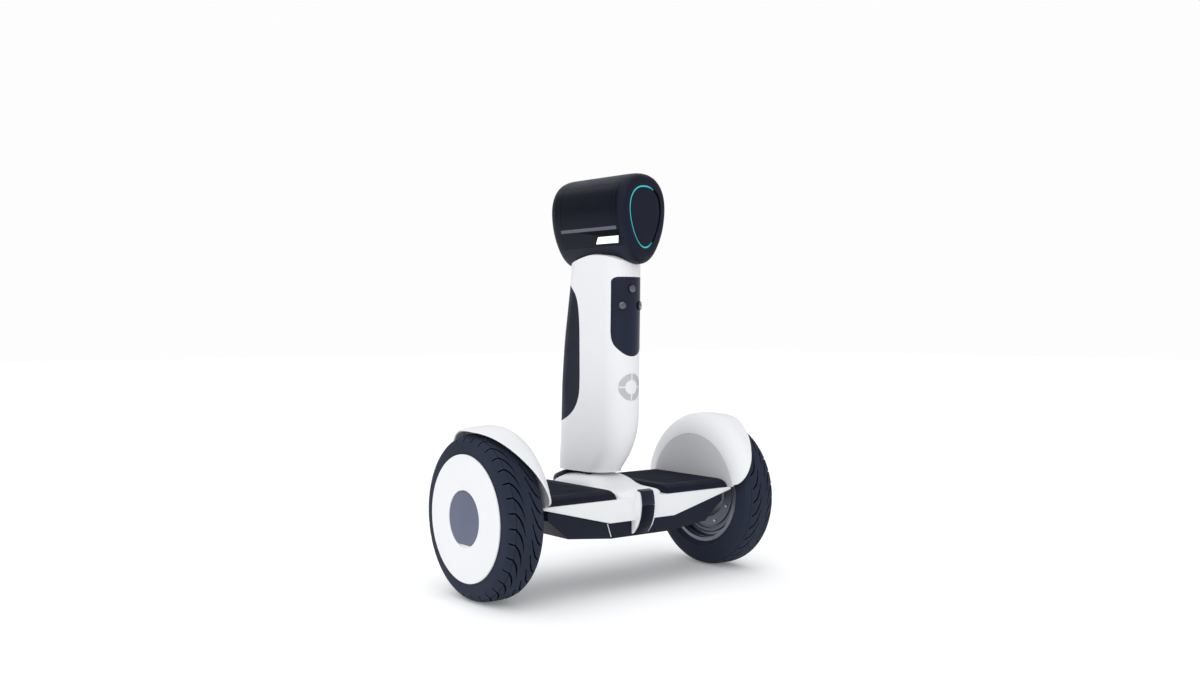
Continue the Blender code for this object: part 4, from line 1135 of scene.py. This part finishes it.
def build_column():
    shell = column_solid("column_body", 0.0, COLUMN_BOTTOM_Z, COLUMN_TOP_Z, 90)
    recess(shell, panel_outline(GAP), "X", -0.080, 0.080)
    recess(shell, shield(GAP), "Y", -0.120, -0.020)
    recess(shell, circle(SPEAKER_RADIUS + GAP, SPEAKER_Z), "Y", -0.120, -0.020)
    foot = COLUMN_BOTTOM_Z - 0.020
    intersect(shell, dome("crown", CROWN_AXIS + [(0.130, 0.5150)], 0.0, NECK_Y, foot))
    intersect(shell, dome("crown_rear", CROWN_REAR + [(0.140, 0.5150)], 0.0, CROWN_REAR_Y, foot))
    cut(
        shell,
        column_solid("hollow", 0.0067, 0.196, 0.524),
        disc_piece("post_hole", 0.0160, 0.060, (0, 0.046, 0.180), (0, 0, 1), 48),
        disc_piece("neck_hole", 0.0125, 0.080, (0, NECK_Y, 0.540), (0, 0, 1), 48),
    )
    smooth(shell, 32)
    dress(shell, "white", "column", "white_shell", "column_shell")

    window = skin_piece("front_window", shield(0.0), "Y", -0.120, -0.020)
    dress(window, "glass", "column", "gloss_black", "sensor_window")
    panel = skin_piece("back_cover", panel_outline(0.0), "X", -0.080, 0.080)
    dress(panel, "black", "column", "black_plastic", "back_panel")

    disc = skin_piece("speaker_disc", circle(SPEAKER_RADIUS, SPEAKER_Z), "Y", -0.120, -0.020)
    ring = prism("ring", circle(SPEAKER_RADIUS - 0.0001, SPEAKER_Z), "Y", -0.120, -0.020)
    cut(ring, prism("middle", circle(0.0120, SPEAKER_Z), "Y", -0.140, 0.0))
    cross = [box_piece("cross", (-0.0013, -0.14, 0.30), (0.0013, 0.0, 0.36))]
    cross.append(box_piece("cross", (-0.03, -0.14, 0.3287), (0.03, 0.0, 0.3313)))
    cut(ring, *cross)
    cut(ring, column_solid("core", 0.0012, 0.300, 0.360))
    pockets = ring.copy()
    pockets.data = ring.data.copy()
    bpy.context.scene.collection.objects.link(pockets)
    cut(disc, pockets)
    bars = []
    for z in np.arange(0.3092, 0.352, 0.0017):
        bars.append(box_piece("bar", (-0.03, -0.14, z - 0.00052), (0.03, 0.0, z + 0.00052)))
    comb = joined("comb", bars)
    sunk = column_solid("sunk", 0.0003, 0.300, 0.360)
    intersect(ring, sunk)
    intersect(ring, comb)
    smooth(disc, 32)
    dress(disc, "white", "column", "white_shell", "speaker_grille")
    dress(smooth(ring, 32), "panel", "column", "fender_panel")
    for x, z, name in ((-0.0020, 0.4925, "centre"), (0.0178, 0.465, "left"), (-0.0178, 0.465, "right")):
        build_lens(x, z, name)


def build_lens(x, z, name):
    """A low glass dome in a thin ring, standing on the window's curved face and turned to face outwards."""
    angle = math.asin(x / FRONT_RADIUS)
    front = hermite(z, COLUMN_FRONT)
    surface = Vector((x, front + FRONT_RADIUS * (1 - math.cos(angle)), z))
    normal = Vector((x / FRONT_RADIUS, -math.cos(angle), 0.0))
    spin = Vector((1, 0, 0)).rotation_difference(normal).to_matrix().to_4x4()
    matrix = Matrix.Translation(surface + normal * 0.0012) @ spin
    lens = turned_x("lens_" + name, lens_profile(), (0, 0, 0), 1, 48)
    lens.data.transform(matrix)
    dress(lens, "lens", "column", "gloss_black", "camera_lens_" + name)
    ring = [(0.0075, -0.0002), (0.0075, 0.0008), (0.0072, 0.0011), (0.0066, 0.0011), (0.0063, 0.0008)]
    ring.append((0.0063, -0.0002))
    bezel = turned_x("bezel_" + name, ring, (0, 0, 0), 1, 48)
    bezel.data.transform(matrix)
    dress(bezel, "bezel", "column", "gloss_black")


def lens_profile():
    points = [(0.0, -0.0002), (0.0061, -0.0002), (0.0061, 0.0006)]
    for i in range(1, 9):
        angle = math.pi / 2 * i / 8
        points.append((0.0061 * math.cos(angle), 0.0006 + 0.0016 * math.sin(angle)))
    points[-1] = (0.0, 0.0022)
    return points


# ---------------------------------------------------------------- head

HEAD_TURN_DEG = 3.5
HEAD_Z = 0.6076
HEAD_HALF_Z = 0.0752
HEAD_HALF_X = 0.0486
HEAD_EGG = 0.244
HEAD_ROUND = 0.943
HEAD_HALF_Y = 0.0948
HEAD_POWER = 2 / 13.0
HEAD_END_Y = HEAD_HALF_Y * 0.998
EAR_HALF_X = 0.0325
EAR_HALF_Z = 0.0502
EAR_Z = 0.6098
EAR_EGG = 0.255
EAR_ROUND = 0.90
RING_HALF = 0.0011
MOUTH_CLEARANCE = 0.0012
# Outline of the light grey strip that paints a highlight along the slot's top lip.
FACE_HIGHLIGHT_BAR = [(-0.0730, 0.5888), (0.0680, 0.5888), (0.0680, 0.5942), (-0.0730, 0.5942)]
# Outline of the slot, a real shallow recess whose strip is darkened as painted shade.
FACE_SHADED_SLOT = [(-0.0770, 0.5800), (-0.0300, 0.5800), (0.0210, 0.5868), (0.0210, 0.5876), (-0.0770, 0.5876)]
FACE_WINDOW = [(-0.0685, 0.5673), (-0.0140, 0.5673), (-0.0240, 0.5782), (-0.0738, 0.5782)]
SEAM_HALF = 0.0003
SHELL_SEAMS = [
    [(0.0646, 0.6645), (0.0643, 0.6700), (0.0638, 0.6745)],
    [(0.0752, 0.6645), (0.0750, 0.6700), (0.0745, 0.6735)],
    [(0.0835, 0.5650), (0.0838, 0.6000), (0.0838, 0.6400), (0.0832, 0.6640), (0.0815, 0.6720)],
]
FACE_SEAMS = [
    [(0.0640, 0.6000), (0.0646, 0.6400), (0.0646, 0.6660)],
    [(0.0745, 0.6100), (0.0752, 0.6400), (0.0752, 0.6660)],
]


def on_head(obj):
    """Turns a piece made in the head's own frame to the head's resting direction over the column."""
    turn = Matrix.Rotation(math.radians(HEAD_TURN_DEG), 4, "Z")
    obj.data.transform(Matrix.Translation((0, NECK_Y, 0)) @ turn)
    return obj


def head_ring(share, scale, inset, end_inset, steps=120):
    points = []
    for i in range(steps):
        angle = 2 * math.pi * i / steps
        half = HEAD_HALF_X * (1 + HEAD_EGG * math.sin(angle))
        across = half * signed_power(math.cos(angle), HEAD_ROUND)
        up = HEAD_HALF_Z * signed_power(math.sin(angle), HEAD_ROUND)
        length = math.hypot(across, up)
        shrink = (length - inset) / length * scale
        points.append((across * shrink, (HEAD_HALF_Y - end_inset) * share, HEAD_Z + up * shrink))
    return points


def head_solid(name, inset, end_inset=None, steps=120):
    """The egg-sectioned body between the ears, rounded into a flat face at each end."""
    deep = inset if end_inset is None else end_inset
    rows = []
    count = 18
    for i in range(count + 1):
        angle = math.pi / 2 * (i / count) * 0.999
        rows.append((math.sin(angle) ** HEAD_POWER, math.cos(angle) ** HEAD_POWER))
    rows = [row for row in rows if row[0] < 0.9975]
    rows.append((0.998, 0.7546))
    both = [(-share, scale) for share, scale in rows[:0:-1]] + rows
    return closed_loft(name, [head_ring(share, scale, inset, deep, steps) for share, scale in both])


def ear_outline(grow, steps=96, start=0.0, end=360.0):
    """The light ring's middle line on the ear, moved outwards by the growth."""
    points = []
    for i in range(steps):
        angle = math.radians(blend(start, end, (i + 0.5) / steps))
        half = (EAR_HALF_X + grow) * (1 + EAR_EGG * math.sin(angle))
        across = half * signed_power(math.cos(angle), EAR_ROUND)
        points.append((across, EAR_Z + (EAR_HALF_Z + grow) * math.sin(angle)))
    return points


def mouth_cutters():
    """The column's dome with its clearance, as the head meets it level and pitched up."""
    cutters = []
    for pitch in (0.0, 4.0, 8.0, 12.5):
        mouth = dome("mouth", CROWN_AXIS, MOUTH_CLEARANCE, 0.0, 0.480)
        about = Matrix.Translation((0, 0, HEAD_Z))
        turn = Matrix.Rotation(-math.radians(pitch), 4, "Y")
        mouth.data.transform(about @ turn @ about.inverted())
        cutters.append(mouth)
    return cutters


def build_head():
    shell = head_solid("head_body", 0.0, 0.0)
    cut(shell, *mouth_cutters())
    cut(shell, head_solid("hollow", 0.004, 0.013, 96))
    pocket = prism("face_pocket", face_outline(GAP), "X", -0.090, -0.020)
    cut(pocket, head_solid("core", 0.0020 + GAP, 0.0))
    cut(shell, pocket)
    for grooves in seam_slabs(SHELL_SEAMS):
        cut(grooves, head_solid("core", 0.0007, 0.0005))
        cut(shell, grooves)
    for side, _ in SIDES:
        low, high = sorted((side * (HEAD_END_Y - 0.0062), side * 0.120))
        cut(shell, prism("ear_seat", ear_outline(RING_HALF + GAP), "Y", low, high))
    smooth(shell, 38)
    dress(on_head(shell), "black", "head", "black_plastic", "head_shell")

    face = head_solid("face_front", 0.0, 0.0)
    cut(face, head_solid("core", 0.0020, 0.0))
    intersect(face, prism("limit", face_outline(0.0), "X", -0.090, -0.020))
    slots = [
        # Light grey strip: painted highlight on the slot's lip.
        ("face_bar_painted_highlight", FACE_HIGHLIGHT_BAR, "bar"),
        # Slot strip: painted shade in the gap.
        ("face_slot_painted_shade", FACE_SHADED_SLOT, "slot"),
        # White patch that glows: painted light, not a lamp.
        ("face_window", FACE_WINDOW, "lamp"),
    ]
    for name, outline, look in slots:
        inlay = head_solid(name, 0.0001, 0.0001)
        cut(inlay, head_solid("core", 0.0011, 0.0))
        intersect(inlay, prism("limit", outline, "X", -0.090, -0.020))
        seat = prism("seat", outline, "X", -0.090, -0.020)
        cut(seat, head_solid("core", 0.0012, 0.0))
        cut(face, seat)
        dress(on_head(smooth(inlay, 32)), look, "head", "gloss_black")
    for grooves in seam_slabs(FACE_SEAMS):
        cut(grooves, head_solid("core", 0.0007, 0.0005))
        cut(face, grooves)
    smooth(face, 32)
    dress(on_head(face), "gloss", "head", "gloss_black", "face_panel")

    for side, name in SIDES:
        seat = HEAD_END_Y - 0.0059
        levels = [(0.0014, 0.0), (0.0014, 0.0042), (0.0017, 0.0049), (0.0024, 0.0053), (0.0036, 0.0055)]
        levels += [(0.0070, 0.0056), (0.0180, 0.00565)]
        rings = []
        for inset, rise in levels:
            rings.append([(x, side * (seat + rise), z) for x, z in ear_outline(-inset)])
        cap = smooth(closed_loft("ear_pad_" + name, rings), 50)
        dress(on_head(cap), "black", "head", "black_plastic", "ear_cap_" + name)
        build_light_ring(side, name, seat)


def build_light_ring(side, name, seat):
    """The lit part of the ear's groove: an open ring with two tapered ends, away from the face."""
    steps, start, end = 120, 63.0, 306.0
    outer = ear_outline(RING_HALF, steps, start, end)
    inner = ear_outline(-RING_HALF, steps, start, end)
    rings = []
    for i in range(steps):
        share = i / (steps - 1)
        taper = float(smoothstep(min(share, 1 - share) / 0.10)) * 0.9 + 0.1
        middle = (Vector(outer[i]) + Vector(inner[i])) / 2
        half = (Vector(outer[i]) - Vector(inner[i])) / 2 * taper
        top = seat + 0.0051
        out, back = middle + half, middle - half
        ring = [(out.x, side * (seat + 0.0003), out.y), (out.x, side * (top - 0.0003), out.y)]
        ring += [(blend(out.x, back.x, 0.25), side * top, blend(out.y, back.y, 0.25))]
        ring += [(blend(out.x, back.x, 0.75), side * top, blend(out.y, back.y, 0.75))]
        ring += [(back.x, side * (top - 0.0003), back.y), (back.x, side * (seat + 0.0003), back.y)]
        rings.append(ring)
    light = smooth(closed_loft("glow_" + name, rings), 50)
    dress(on_head(light), "teal", "head", "teal_light", "light_ring_" + name)


def face_outline(grow):
    half, low, high = 0.0800 + grow, 0.5630 - grow, 0.6640 + grow
    return [(-half, low), (half, low), (half, high), (-half, high)]


def seam_slabs(paths):
    """Thin upright slabs on the face side of each ear that mark the joint lines of the shell."""
    made = []
    for side in (-1, 1):
        for path in paths:
            spread = [(side * (y - SEAM_HALF), z) for y, z in path]
            spread += [(side * (y + SEAM_HALF), z) for y, z in path[::-1]]
            made.append(prism("seam", spread, "X", -0.090, -0.004))
    return made


CARRIED = {
    "chassis_frame": "silver",
    "battery_pack": "wrap",
    "control_board": "board",
    "charge_socket": "black",
    "pivot_shaft": "steel",
    "speaker_driver": "black",
    "column_board": "board",
    "steering_post": "silver",
    "yaw_motor": "steel",
    "neck_yoke": "silver",
    "pitch_pin": "steel",
    "head_board": "board",
}
for part_name in ("axle", "stator", "wheel_bearing"):
    for side_name in ("left", "right"):
        CARRIED[f"{part_name}_{side_name}"] = "steel"
for part_name in ("axle_clamp", "foot_sensor"):
    for side_name in ("left", "right"):
        CARRIED[f"{part_name}_{side_name}"] = "silver"

LOOKS = build_materials()
build_studio()
for wheel_side, wheel_name in SIDES:
    build_wheel(wheel_side, wheel_name)
build_fenders()
build_top_cover()
build_front_band()
build_footpads()
build_tray()
build_rear()
build_column()
build_head()
for node_name, look_name in CARRIED.items():
    node_object = NODES[node_name]
    node_object.data.materials.clear()
    node_object.data.materials.append(LOOKS[look_name])
